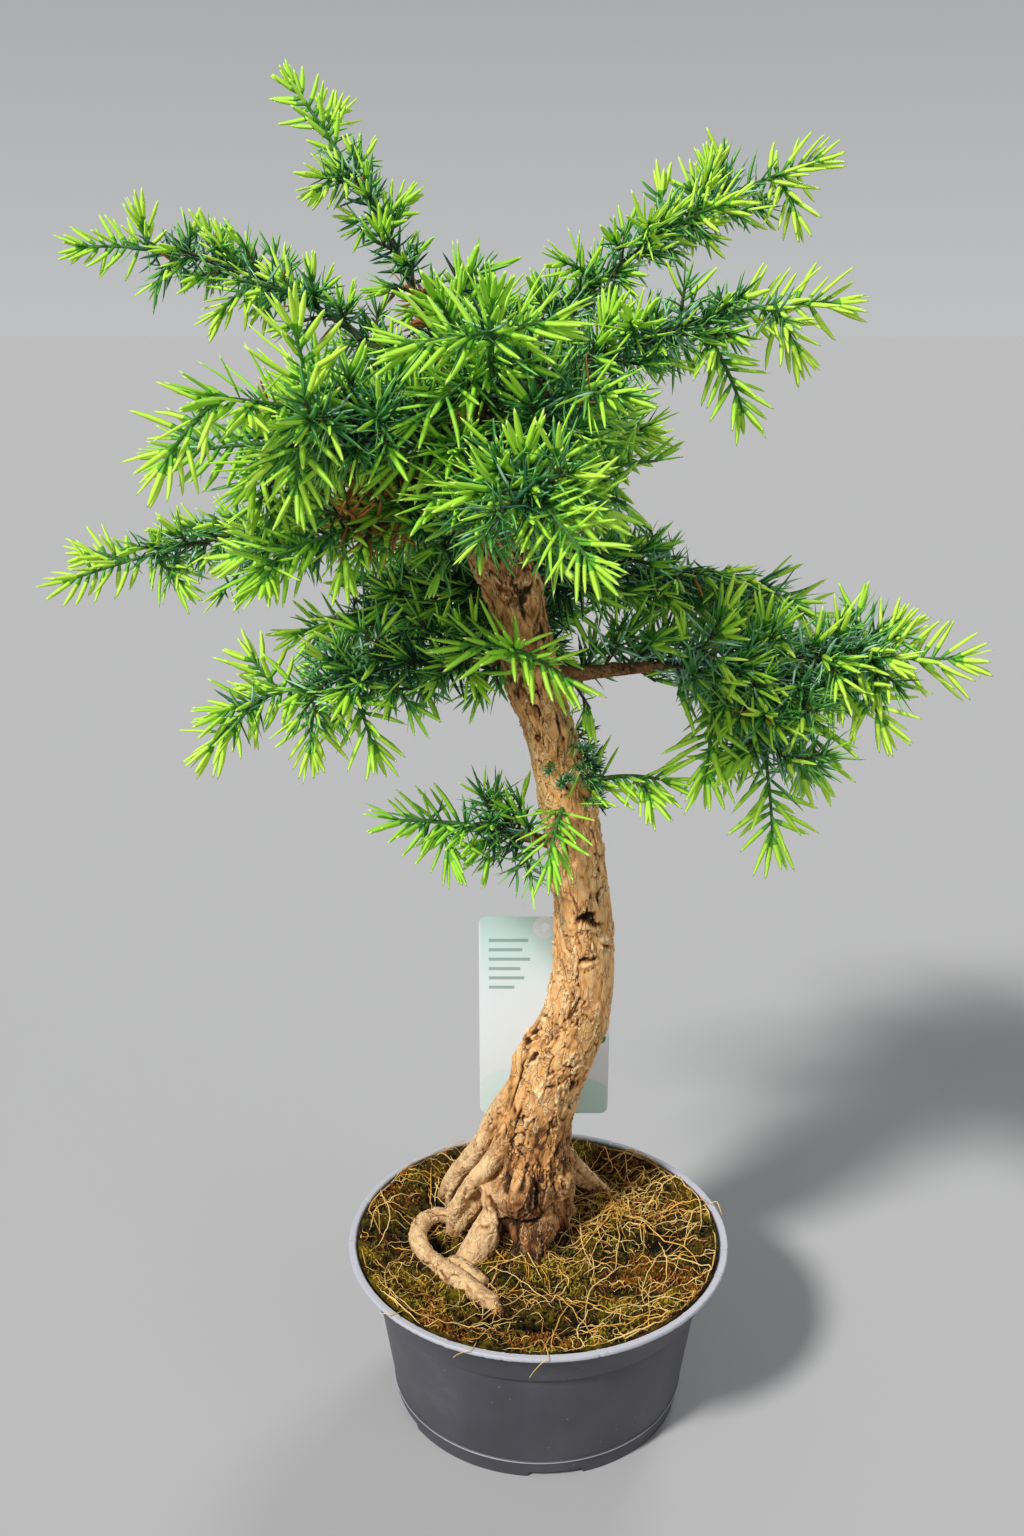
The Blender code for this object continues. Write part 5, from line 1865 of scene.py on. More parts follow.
    def grow_burr(self) -> None:
        """Grows the dense tuft of tiny shoots on the trunk's right side."""
        draw = self.draw
        mass = next(index for index, branch in enumerate(BRANCHES) if branch.name == "small_right")
        for _ in range(self.burr_shoots):
            centre = trunk_at(draw.uniform(self.burr_low, self.burr_high))
            heading = math.radians(self.burr_heading + draw.normal(0.0, 30.0))
            way = np.array([math.cos(heading), math.sin(heading), draw.uniform(-0.6, 0.7)])
            length = draw.uniform(0.005, 0.011)
            t = np.linspace(0.009, 0.0115 + length, 6)[:, None]
            self.shoots.append(Shoot(mass, centre + unit(way) * t, self.tip_radius, ShootKind.BURR))

    @staticmethod
    def sprout_reach(shoot: Shoot) -> float:
        """How much of a shoot, from its tip, is this year's growth, in metres."""
        return SPROUT_REACH.get(shoot.kind, 0.0)

    def needles_on(self, shoot: Shoot) -> dict[str, Array]:
        """Places the needles of one shoot along a spiral, gathered forward at its tip.

        A new needle leans 62 degrees off the shoot and an old one 76, less near the tip.

        Args:
            shoot: The shoot.

        Returns:
            The needles' roots, directions, facings, sizes, curves and ages, and what sets their tones.
        """
        draw = self.draw
        burr = shoot.kind is ShootKind.BURR
        total = float(np.linalg.norm(np.diff(shoot.line, axis=0), axis=1).sum())
        habit = HABITS.get(BRANCHES[shoot.mass].name, Habit())
        fresh = self.sprout_reach(shoot) * habit.fresh
        if shoot.kind is ShootKind.TWIG and draw.random() < self.twig_sprouts:
            fresh = self.twig_sprout_reach
        if shoot.kind is ShootKind.FILLER and draw.random() > self.filler_sprouts:
            fresh = 0.0
        density = self.burr_density if burr else self.old_density
        bare = max(0.0, total - fresh)
        mark = np.concatenate([
            np.arange(0.0, bare, 1 / density),
            np.arange(bare, total, min(1.0, habit.needles) / self.sprout_density),
            np.full(self.tuft, total - 0.001),
        ])
        mark = np.clip(mark + draw.uniform(-0.3, 0.3, len(mark)) / density, 0.0, total)
        count = len(mark)
        steps = np.linspace(0.0, total, len(shoot.line))
        tangent = unit(np.gradient(shoot.line, axis=0))
        light = np.array(self.light)
        guide = light if abs(tangent @ light).max() < 0.94 else np.array([0.0, 0.0, 1.0])
        side = unit(np.cross(tangent, guide))
        up = np.cross(side, tangent)
        middle, tangent, side, up = (
            np.stack([np.interp(mark, steps, rows[:, axis]) for axis in range(3)], -1)
            for rows in (shoot.line, tangent, side, up)
        )
        tangent, side, up = unit(tangent), unit(side), unit(up)
        away = total - mark
        age = away - fresh + draw.normal(0.0, 0.0025, count)
        age = draw.uniform(0.0, 0.02, count) if burr else age
        new = age < 0.0
        angle = np.arange(count) * GOLDEN_ANGLE + draw.normal(0.0, 0.22, count)
        flat = np.where(new, NEW.flat + 1.2 * max(0.0, 1 - habit.needles), OLD.flat)
        out = unit(np.cos(angle)[:, None] * side + (np.sin(angle) * flat)[:, None] * up)
        gather = smooth_step(away, -0.001, 0.014)
        lean = np.where(new, NEW.lean[0] + NEW.lean[1] * gather, OLD.lean[0] + OLD.lean[1] * gather)
        lean = np.radians(lean + draw.normal(0.0, 1.0, count) * np.where(new, NEW.spread, OLD.spread))
        ahead = np.cos(lean)[:, None] * tangent + np.sin(lean)[:, None] * out
        grown = smooth_step(mark, -0.004, 0.008) * 0.25 + 0.75
        length = np.where(new, NEW.length, OLD.length) * grown * draw.uniform(0.82, 1.08, count)
        length = length * (0.76 + 0.24 * smooth_step(away, 0.0, 0.012)) * (0.36 if burr else 1.0)
        length = length * habit.needles
        width = np.where(new, NEW.width, OLD.width) * draw.uniform(0.85, 1.1, count)
        width = width * (0.6 if burr else 0.5 + 0.5 * habit.needles)
        forward = np.where(new, draw.uniform(*NEW.forward, count), draw.uniform(*OLD.forward, count))
        lift = np.where(new, draw.uniform(*NEW.lift, count), draw.uniform(*OLD.lift, count))
        facing = np.where(new, NEW.facing, OLD.facing)[:, None] * up + out
        facing = facing + draw.normal(0.0, 0.25, (count, 3))
        radius = shoot.root_radius + (self.tip_radius - shoot.root_radius) * mark / total
        return {
            "root": middle + out * (radius * 0.5)[:, None],
            "ahead": unit(ahead),
            "face": facing,
            "length": length,
            "width": width,
            "curve": forward[:, None] * tangent + lift[:, None] * up,
            "age": age,
            # Spray is half a random tone and half how near the crown's outside the shoot is, so inner needles
            # get darker tones: painted shade.
            "spray": np.full(count, 0.5 * draw.random() + 0.499 * self.outerness(shoot)),
            "chance": draw.random(count),
            "bloom": np.full(count, habit.bloom),
        }

    def outerness(self, shoot: Shoot) -> float:
        """How near the crown's outside a shoot's middle is, from 0 to 1."""
        middle = shoot.line[len(shoot.line) // 2]
        away = np.linalg.norm(self.trunk_points - middle, axis=1).min()
        return float(smooth_step(away, 0.030, 0.120))

    def all_needles(self) -> list[dict[str, Array]]:
        """The needles of each branch, less those that would touch a limb."""
        groups: list[list[dict[str, Array]]] = [[] for _ in BRANCHES]
        for shoot in self.shoots:
            groups[shoot.mass].append(self.needles_on(shoot))
        found = []
        for group in groups:
            joined = {key: np.concatenate([needles[key] for needles in group]) for key in group[0]}
            tip = joined["root"] + joined["ahead"] * joined["length"][:, None]
            half = (joined["root"] + tip) / 2
            kept = (self.room(tip) > self.trunk_clear) & (self.room(half) > self.trunk_clear)
            kept &= ~self.in_gap(tip) & ~self.in_gap(half)
            joined["dead"] = self.in_dead_spot(joined["root"])
            found.append({key: values[kept] for key, values in joined.items()})
        return found

    def in_dead_spot(self, points: Array) -> Array:
        """Whether each point lies in a patch of dead needles, which is deep from front to back."""
        found = np.zeros(len(points), bool)
        for x, y, z, reach in self.dead_spots:
            away = (points - [x, y, z]) / [reach, reach * 2.5, reach]
            found |= (away**2).sum(axis=1) < 1.0
        return found

    @staticmethod
    def add_sprouts(shape: Shape, needles: dict[str, Array]) -> None:
        """Adds this year's needles: green at the root, lime along them and paler at the tip."""
        points, quads, (ends, foot) = SPROUT_FORM.solids(needles)
        # Sprouts take a brighter lime the nearer the crown's outside they grow: partly random tone, partly
        # painted light.
        body = Tone.SPROUT_A + np.floor(needles["spray"] * 2.999).astype(int)
        foot_tone = np.full(len(body), Tone.SPROUT_ROOT)
        tone = np.stack([foot_tone, body, body], -1)[..., None]
        shape.add(points, (
            (quads, np.broadcast_to(tone, quads.shape[:-1])),
            (ends, Tone.SPROUT_TIP),
            (foot, Tone.SPROUT_ROOT),
        ))

    def add_old(self, shape: Shape, needles: dict[str, Array]) -> None:
        """Adds older needles: dark green with a pale bloom on one face, some young, a few dead."""
        points, quads, (ends, foot) = OLD_FORM.solids(needles)
        young = (needles["age"] < self.young_reach) & ~needles["dead"]
        dead_share = np.where(needles["dead"], self.dead_in_spot, self.dead_elsewhere)
        dead = (needles["chance"] < dead_share) & ~young
        # Old needles take a lighter tone the nearer the crown's outside they grow, and there the pale bloom
        # on their face too: painted light over the bloom's own colour.
        dark = Tone.OLD_A + np.floor(needles["spray"] * 2.999).astype(int)
        bloom = Tone.BLOOM_A + (needles["chance"] > 0.5)
        shown = (needles["spray"] > 0.60 - needles["bloom"]) & (needles["chance"] > 0.50 - needles["bloom"])
        dark = np.where(shown, bloom, dark)
        face, back = (
            np.where(young, int(Tone.YOUNG), np.where(dead, int(Tone.DEAD), tone)) for tone in (dark, bloom)
        )
        tip = np.where(young, int(Tone.YOUNG_TIP), face)
        sides = np.stack([face, tip, back], -1)
        shape.add(points, (
            (quads, np.broadcast_to(sides[:, None], quads.shape[:-1])),
            (ends, np.broadcast_to(tip[:, None], ends.shape[:-1])),
            (foot, np.broadcast_to(face[:, None], foot.shape[:-1])),
        ))

    def build_needles(self) -> None:
        """Makes the needles, new and old apart, in pieces of a limited size."""
        skins = [skin.material() for skin in NEEDLE_SKINS]
        found = self.all_needles()
        for label, add, chosen in (
            ("new_needles", self.add_sprouts, lambda needles: needles["age"] < 0.0),
            ("old_needles", self.add_old, lambda needles: needles["age"] >= 0.0),
        ):
            shape = Shape()
            nodes: list[str] = []
            made = 0
            for index, branch in enumerate(BRANCHES):
                keep = chosen(found[index])
                part = {key: values[keep] for key, values in found[index].items()}
                add(shape, part)
                nodes.append("foliage_" + branch.name)
                if shape.triangles() > self.piece_limit or branch is BRANCHES[-1]:
                    made += 1
                    show(shape.build(f"{label}_{made}", skins), "needles", *nodes)
                    shape = Shape()
                    nodes = []

    def build_twigs(self) -> None:
        """Makes the shoots' own stems: brown while old, green where they are this year's."""
        skins = [
            TwigSkin("twig_brown", (0.100, 0.075, 0.030), (0.028, 0.045, 0.018)).material(),
            TwigSkin("twig_green", (0.080, 0.240, 0.035), (0.035, 0.120, 0.025)).material(),
        ]
        shape = Shape()
        for shoot in self.shoots:
            share = np.linspace(0.0, 1.0, len(shoot.line))
            radii = shoot.root_radius * (1 - share) + self.tip_radius * share
            sides = 6 if shoot.kind is ShootKind.STEM else 4
            points, quads, ends = tube(shoot.line, radii, sides)
            length = (len(shoot.line) - 1) * self.path_step
            green = np.arange(len(shoot.line) - 1) * self.path_step > length - self.green_tip
            green &= shoot.kind is not ShootKind.TWIG
            tone = np.broadcast_to(green.astype(int)[:, None], quads.shape[:-1])
            shape.add(points, ((quads, tone), (ends, 1)))
        show(shape.build("twigs", skins), "needles", *("foliage_" + branch.name for branch in BRANCHES))

    def build_boughs(self, relief: BarkRelief, finish: FlakyBark) -> None:
        """Makes the bare boughs, each with its bark's relief and a collar where it leaves the trunk."""
        shape = Shape()
        maker = Trunk()
        nodes = []
        for number, branch in enumerate(BRANCHES):
            count = round(branch.bare / self.path_step)
            if not count:
                continue
            line = self.branch_line(branch)[: count + 2]
            size = self.bough_radii(branch, len(line)) * 2
            rows = even_steps(np.hstack([line, size[:, None]]), self.bough_step)
            away = np.linalg.norm(rows[:, :3] - rows[0, :3], axis=1)
            rows[:, 3] *= self.bough_swell + self.collar_swell * bell(away, self.collar_reach)
            maker.grid(
                shape, rows, self.bough_columns, relief, self.bough_seed + number, warmth=self.bough_warmth
            )
            nodes.append("bough_" + branch.name)
        show(shape.build("bough_bark", [finish.material()]), "bark", *nodes)

    def build(self) -> None:
        """Grows the crown and makes its pieces."""
        self.grow_main()
        self.open_gaps()
        self.grow_twigs()
        self.grow_burr()
        LOG.info("%d shoots", len(self.shoots))
        self.build_twigs()
        self.build_needles()
        relief = BarkRelief(
            plate=0.0035, stretch=1.5, plate_step=0.00016, curl=0.0026, ridge=0.00018, groove=0.00020,
            fine=0.00014, swell=0.0005, slit_cell=0.006, slit_depth=0.0003, pit_depth=0.0002,
        )
        finish = FlakyBark(
            "bough_bark", (0.020, 0.010, 0.005), (0.110, 0.048, 0.020), (0.270, 0.125, 0.050),
            (0.460, 0.280, 0.140), (0.180, 0.065, 0.026), (0.360, 0.230, 0.120), 1100.0, 520.0,
        )
        self.build_boughs(relief, finish)


# Pot, soil and label


@dataclass
class Pot:
    """The nursery pot: a turned profile with rounded edges, cut by notches at its foot."""

    height: float = 0.085
    lip_radius: float = 0.095
    lip_inner: float = 0.0915
    lip_thickness: float = 0.0022
    collar_top: float = 0.0900
    collar_foot: float = 0.0842
    collar_height: float = 0.064
    wall_top: float = 0.0816
    ridge_height: float = 0.0086
    ridge_radius: float = 0.0733
    ridge_proud: float = 0.0008
    ridge_width: float = 0.0009
    base_radius: float = 0.0722
    wall: float = 0.0013
    floor: float = 0.004
    notches: int = 5
    notch_width: float = 0.026
    notch_height: float = 0.0030
    notch_depth: float = 0.0130
    first_notch: float = -84.0
    segments: int = 540
    nicks: int = 22
    nick_drop: tuple[float, float] = (0.0002, 0.0005)
    nick_depth: tuple[float, float] = (0.0, 0.0004)
    # How far three parts are paled: the lip as wear with a painted highlight, the ridge line as a painted
    # highlight, and the inside wall as painted light.
    lip_wear_and_highlight: float = 0.80
    ridge_highlight: float = 0.7
    inside_painted_light: float = 0.55
    sharp_angle: float = 38.0

    def profile(self) -> Array:
        """The section from the underside out, up the wall, over the lip and down inside.

        Returns:
            Radius and height a point. The second to fourth points are those that notches lift.
        """
        lip_foot = self.height - self.lip_thickness
        ridge_top = self.ridge_height + self.ridge_width
        after_ridge = self.ridge_radius + (self.wall_top - self.ridge_radius) * (
            ridge_top - self.ridge_height) / (self.collar_height - self.ridge_height)
        foot = self.base_radius - self.notch_depth
        round_lip = [
            (self.lip_radius - 0.0006 + 0.0006 * math.cos(a), lip_foot + self.lip_thickness / 2
             + (self.lip_thickness / 2) * math.sin(a))
            for a in np.linspace(-math.pi / 2, math.pi / 2, 7)
        ]
        wall_heights = np.linspace(ridge_top, self.collar_height, 9)[1:-1]
        wall = [
            (float(np.interp(z, (ridge_top, self.collar_height), (after_ridge, self.wall_top))), float(z))
            for z in wall_heights
        ]
        return np.array([
            (0.0, 0.0), (foot - 0.0004, 0.0), (foot, 0.0), (self.base_radius - 0.0003, 0.0),
            (self.base_radius + 0.0001, 0.0003), (self.base_radius + 0.0004, 0.0028),
            (self.ridge_radius - 0.0003, self.ridge_height - 0.0008),
            (self.ridge_radius - 0.0001, self.ridge_height - 0.0002),
            (self.ridge_radius + 0.0004, self.ridge_height + 0.0001),
            (self.ridge_radius + self.ridge_proud, self.ridge_height + self.ridge_width / 2),
            (after_ridge + 0.0003, ridge_top - 0.0001), (after_ridge, ridge_top + 0.0002),
            (after_ridge + 0.0001, ridge_top + 0.0009),
            *wall,
            (self.wall_top - 0.0002, self.collar_height - 0.0012),
            (self.wall_top - 0.0003, self.collar_height),
            (self.collar_foot - 0.0003, self.collar_height + 0.0002),
            (self.collar_foot + 0.0001, self.collar_height + 0.0005),
            (self.collar_foot + 0.0005, self.collar_height + 0.0013),
            (self.collar_top, lip_foot - 0.0005), (self.collar_top + 0.0005, lip_foot),
            *round_lip,
            (self.lip_inner + 0.0005, self.height), (self.lip_inner, self.height - 0.0004),
            (self.lip_inner - 0.0003, self.height - 0.0010),
            (self.collar_top - self.wall, lip_foot - self.lip_thickness),
            (self.wall_top - self.wall, self.collar_height),
            (self.base_radius - 0.0006, self.floor), (0.0, self.floor),
        ])

    def build(self) -> None:
        """Turns the profile, lifts the foot at the notches and nicks the lip."""
        profile = self.profile()
        angle = ring_angles(self.segments)
        radius = np.repeat(profile[:, :1], self.segments, 1)
        height = np.repeat(profile[:, 1:], self.segments, 1)
        cut = np.zeros(self.segments, bool)
        for number in range(self.notches):
            middle = math.radians(self.first_notch) + number * math.tau / self.notches
            turn = (angle - middle + math.pi) % math.tau - math.pi
            cut |= np.abs(turn) * self.base_radius < self.notch_width / 2
        height[2:5, cut] = self.notch_height
        radius[4, cut] = self.base_radius + 0.0003
        draw = np.random.default_rng(4)
        lip = profile[:, 0] > self.lip_inner - 0.0001
        lip &= profile[:, 1] > self.height - self.lip_thickness - 0.0001
        ring = round_points(40, angle, 0.0)
        rough = fractal(ring, 3, 8)
        radius[lip] += (0.00022 * rough - 0.0005 * np.maximum(0.0, rough - 0.28) * 4)[None]
        height[lip] += 0.00010 * fractal(ring + 9.0, 2, 9)[None]
        for at in draw.integers(0, self.segments, self.nicks):
            height[lip, at] -= draw.uniform(*self.nick_drop)
            radius[lip, at] -= draw.uniform(*self.nick_depth)
        points = round_points(radius, angle, height)
        rows = len(profile) - 2
        ridge = np.abs(profile[:, 1] - self.ridge_height - self.ridge_width / 2) < self.ridge_width / 4
        inner = np.arange(len(profile)) >= len(profile) - 4
        # Edge paints the lip paler as wear with a painted highlight, the ridge line with a painted highlight,
        # and the inside wall above the soil with painted light.
        edge = self.lip_wear_and_highlight * lip + self.ridge_highlight * (ridge & (profile[:, 0] > self.ridge_radius))
        edge += self.inside_painted_light * (inner & (profile[:, 1] > self.collar_height + 0.001))
        shape = Shape()
        shape.add(
            np.vstack([points[1:-1].reshape(-1, 3), points[0, :1], points[-1, :1]]),
            ((grid_faces(rows, self.segments, True), 0), (end_fans(rows, self.segments), 0)),
            edge=np.concatenate([np.repeat(edge[1:-1], self.segments), [0.0, 0.0]]),
        )
        piece = shape.build("nursery_pot", [PotPlastic().material()])
        piece.data.set_sharp_from_angle(angle=math.radians(self.sharp_angle))
        show(piece, "pot_plastic", "pot")


class FiberKind(NamedTuple):
    """Root fibres of one kind: how many, their steps, length, curl and radius, and their tones.

    Those of the nest lie round one place and a little higher.
    """

    count: int
    steps: int
    length: tuple[float, float]
    curl: float
    radius: tuple[float, float]
    tones: int
    nest: bool = False


FIBER_KINDS = (
    FiberKind(210, 16, (0.018, 0.070), 0.11, (0.00018, 0.00040), 2),
    FiberKind(640, 9, (0.004, 0.018), 0.34, (0.00013, 0.00028), 3),
    FiberKind(110, 10, (0.006, 0.024), 0.50, (0.00016, 0.00034), 3, True),
)


@dataclass
class SoilBed:
    """The moss that covers the soil, its tufts, and the dry root fibres that lie on it."""

    radius: float = 0.0903
    top: float = 0.0765
    rings: int = 118
    segments: int = 360
    tufts: int = 20000
    nest_place: tuple[float, float, float] = (0.050, 0.030, 0.012)
    nest_height: float = 0.0045
    hollow: tuple[float, float, float] = (0.024, 0.006, 0.018)
    hollow_depth: float = 0.0036
    lump_cell: float = 0.013
    lump_height: float = 0.0042
    grain_cell: float = 0.0026
    grain_height: float = 0.0028
    edge_from: float = 0.060
    edge_rise: float = 0.0074
    side: tuple[tuple[float, float], ...] = (
        (0.0868, 0.0775), (0.0838, 0.0715), (0.0797, 0.0640), (0.0700, 0.0045),
    )

    def surface(self, x: Array, y: Array) -> tuple[Array, Array]:
        """The moss's height: soft lumps, finer ones on them, and a dip beside the trunk.

        Args:
            x: Where it is read.
            y: The same.

        Returns:
            The height, and the relief's level from 0, low, to 1.
        """
        flat = np.stack([x, y, np.zeros_like(x)], -1)
        lumps = fractal(flat / self.lump_cell, 3, 21) * self.lump_height
        grains = fractal(flat / self.grain_cell, 3, 31) * self.grain_height
        dip_x, dip_y, wide = self.hollow
        dip = np.exp(-((x - dip_x) ** 2 + (y - dip_y) ** 2) / wide**2) * self.hollow_depth
        away = np.hypot(x, y)
        edge = smooth_step(away, self.edge_from, self.radius - 0.002) * self.edge_rise
        calm = 1 - 0.7 * smooth_step(away, self.radius - 0.006, self.radius)
        height = self.top + (lumps + grains) * calm - dip + edge
        # The level is lower in the dips and in the hollow by the trunk, where the moss is painted with shade.
        level = 0.5 + lumps / 0.0050 + grains / 0.0026 - dip * 150
        return height, np.clip(level, 0.0, 1.0)

    def build(self) -> None:
        """Makes the bed, the tufts and the fibres."""
        straw = [
            Straw("straw_pale", (1.00, 0.70, 0.25)).material(),
            Straw("straw_gold", (0.86, 0.47, 0.085)).material(),
            Straw("straw_brown", (0.26, 0.095, 0.024)).material(),
        ]
        self.build_bed()
        self.build_tufts()
        self.build_fibers(straw)

    def build_bed(self) -> None:
        """Makes the moss surface on a round grid, and the soil's side and underside."""
        share = np.linspace(0.0, 1.0, self.rings)[1:] ** 0.9
        angle = ring_angles(self.segments)
        radius = (share * self.radius)[:, None]
        x = radius * np.cos(angle)
        y = radius * np.sin(angle)
        height, level = self.surface(x, y)
        walls = [round_points(r, angle, z) for r, z in self.side]
        rows = np.concatenate([np.stack([x, y, height], -1), np.stack(walls)])
        middle, middle_level = self.surface(np.zeros(1), np.zeros(1))
        ends = end_fans(len(rows), self.segments)[:, [1, 0, 2]]
        poles = np.array([[0.0, 0.0, middle[0]], [0.0, 0.0, self.side[-1][1]]])
        levels = np.concatenate([level, np.zeros((len(self.side), self.segments))]).ravel()
        shape = Shape()
        shape.add(
            np.vstack([rows.reshape(-1, 3), poles]),
            ((grid_faces(len(rows), self.segments, True)[..., ::-1], 0), (ends, 0)),
            relief=np.concatenate([levels, middle_level, [0.0]]),
        )
        show(shape.build("moss_bed", [Moss().material()]), "soil", "soil")

    def scattered(self, draw: np.random.Generator, count: int) -> tuple[Array, Array]:
        """Random places on the bed, evenly spread over its disc."""
        radius = self.radius * np.sqrt(draw.random(count)) * 0.985
        angle = draw.uniform(0.0, math.tau, count)
        return radius * np.cos(angle), radius * np.sin(angle)

    def build_tufts(self) -> None:
        """Makes moss leaves: leaning three-sided points, in tones that change by patch."""
        draw = np.random.default_rng(31)
        x, y = self.scattered(draw, self.tufts)
        z, _ = self.surface(x, y)
        flat = np.stack([x, y, np.zeros_like(x)], -1)
        patch = fractal(flat / 0.017, 3, 41) + draw.normal(0.0, 0.13, self.tufts)
        rust = fractal(flat / 0.026, 2, 51) + 0.25 * np.exp(-((x - 0.004) ** 2 + (y + 0.074) ** 2) / 0.016**2)
        tone = np.digitize(patch, (-0.13, 0.03, 0.20))
        tone = np.where(rust + draw.normal(0.0, 0.1, self.tufts) > 0.31, 4, tone)
        size = draw.uniform(0.0004, 0.0009, self.tufts)
        tall = draw.uniform(0.0008, 0.0024, self.tufts)
        turn = draw.uniform(0.0, math.tau, self.tufts)
        corner = turn[:, None] + ring_angles(3)[None]
        ring = round_points(1.0, corner, 0.0) * size[:, None, None]
        base = np.stack([x, y, z - 0.0004], -1)
        sway = [draw.normal(0, 0.5, self.tufts) for _ in range(2)]
        lean = np.stack([*sway, np.ones(self.tufts)], -1)
        tip = base + unit(lean) * tall[:, None]
        points = np.concatenate([base[:, None] + ring, tip[:, None]], 1)
        start = np.arange(self.tufts)[:, None, None] * 4
        faces = start + np.array([[0, 1, 3], [1, 2, 3], [2, 0, 3], [0, 2, 1]])[None]
        shape = Shape()
        shape.add(points, ((faces, np.broadcast_to(tone[:, None], faces.shape[:-1])),))
        # The first tone, nearly black, is painted shade that stands for the gaps between the tufts.
        colors = (
            (0.006, 0.004, 0.001), (0.044, 0.033, 0.002), (0.160, 0.120, 0.006), (0.440, 0.320, 0.018),
            (0.340, 0.110, 0.009),
        )
        skins = [Straw(f"moss_leaf_{number}", color).material() for number, color in enumerate(colors)]
        show(shape.build("moss_tufts", skins, smooth=False), "soil", "soil")

    def wander(self, draw: np.random.Generator, start: tuple[Array, Array], steps: int, length: Array,
               curl: float) -> Array:
        """Lines that wander over the moss, their heading changing by a random amount each step.

        Args:
            draw: The source of random numbers.
            start: The x and y where each line starts.
            steps: How many steps each has.
            length: How long each is.
            curl: The spread of the change of heading, in radians a step.

        Returns:
            The lines' points, lifted off the moss in a low arch.
        """
        x, y = start
        count = len(x)
        turn = np.cumsum(draw.normal(0.0, curl, (count, steps)) + draw.normal(0.0, curl * 0.6, (count, 1)), 1)
        heading = draw.uniform(0.0, math.tau, (count, 1)) + turn
        stride = (length / steps)[:, None]
        line_x = x[:, None] + np.cumsum(np.cos(heading) * stride, 1)
        line_y = y[:, None] + np.cumsum(np.sin(heading) * stride, 1)
        shrink = np.minimum(1.0, (self.radius - 0.0015) / np.maximum(np.hypot(line_x, line_y), 1e-6))
        line_x = line_x * shrink
        line_y = line_y * shrink
        ground, _ = self.surface(line_x, line_y)
        arch = np.sin(np.linspace(0.0, math.pi, steps))[None] * draw.uniform(0.0002, 0.0045, (count, 1))
        height = ground + 0.0005 + arch * np.minimum(1.0, length / 0.03)[:, None]
        return np.stack([line_x, line_y, height], -1)

    @staticmethod
    def thread(shape: Shape, lines: Array, radius: Array, tone: Array) -> None:
        """Adds three-sided threads along lines, thinner at both ends."""
        count, steps, _ = lines.shape
        tangent = unit(np.gradient(lines, axis=1))
        side = unit(np.cross(tangent, np.array([0.0, 0.0, 1.0])))
        up = np.cross(side, tangent)
        taper = 0.35 + 0.65 * np.sin(np.linspace(0.15, math.pi - 0.15, steps))
        size = radius[:, None] * taper[None]
        rings = lines[:, :, None] + size[..., None, None] * spokes(side, up, 3)
        start = np.arange(count)[:, None, None] * steps * 3
        quads = start[..., None] + grid_faces(steps, 3, True)[None]
        last = (steps - 1) * 3
        ends = start + np.array([[0, 1, 2], [last + 2, last + 1, last]])[None]
        shape.add(rings, (
            (quads, np.broadcast_to(tone[:, None, None], quads.shape[:-1])),
            (ends, np.broadcast_to(tone[:, None], ends.shape[:-1])),
        ))

    def build_fibers(self, straw: list[bpy.types.Material]) -> None:
        """Makes the long fibres, the short curls and the few that hang over the rim."""
        draw = np.random.default_rng(77)
        shape = Shape()
        x, y, wide = self.nest_place
        for kind in FIBER_KINDS:
            count = kind.count
            if kind.nest:
                spread = (x + draw.normal(0.0, wide, count), y + draw.normal(0.0, wide, count))
            else:
                spread = self.scattered(draw, count)
            lines = self.wander(draw, spread, kind.steps, draw.uniform(*kind.length, count), kind.curl)
            if kind.nest:
                lines[..., 2] += draw.uniform(0.0, self.nest_height, (count, 1))
            radius = draw.uniform(*kind.radius, count)
            self.thread(shape, lines, radius, draw.integers(0, kind.tones, count))
        over = []
        for heading, drop in ((-91.0, 0.010), (-139.0, 0.004), (-112.0, 0.006), (12.0, 0.003)):
            level = math.radians(heading)
            t = np.linspace(0.0, 1.0, 12)
            out = 0.076 + 0.0205 * smooth_step(t, 0.0, 0.55)
            rise = 0.0800 + 0.0064 * np.sin(np.clip(t / 0.62, 0, 1) * math.pi / 2)
            rise = rise - drop * np.clip((t - 0.55) / 0.45, 0, 1) ** 1.4
            swing = level + 0.05 * np.sin(t * 4)
            over.append(round_points(out, swing, rise))
        self.thread(shape, np.stack(over), np.full(len(over), 0.00024), np.zeros(len(over), int))
        show(shape.build("root_fibers", straw), "soil", "soil")


@dataclass
class Label:
    """The plant label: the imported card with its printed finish."""

    top: float = 0.2370
    bottom: float = 0.1255

    def dress(self) -> None:
        """Gives the card its finish, placed by the card's own box."""
        low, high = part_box("label")
        finish = PrintedCard(
            centre_x=(low.x + high.x) / 2,
            centre_z=(self.top + self.bottom) / 2,
            half_width=(high.x - low.x) / 2,
            half_height=(self.top - self.bottom) / 2,
        )
        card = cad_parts["label"]
        card.data.materials.clear()
        card.data.materials.append(finish.material())
        LOG.info("label: dressed")


# Floor, light and camera


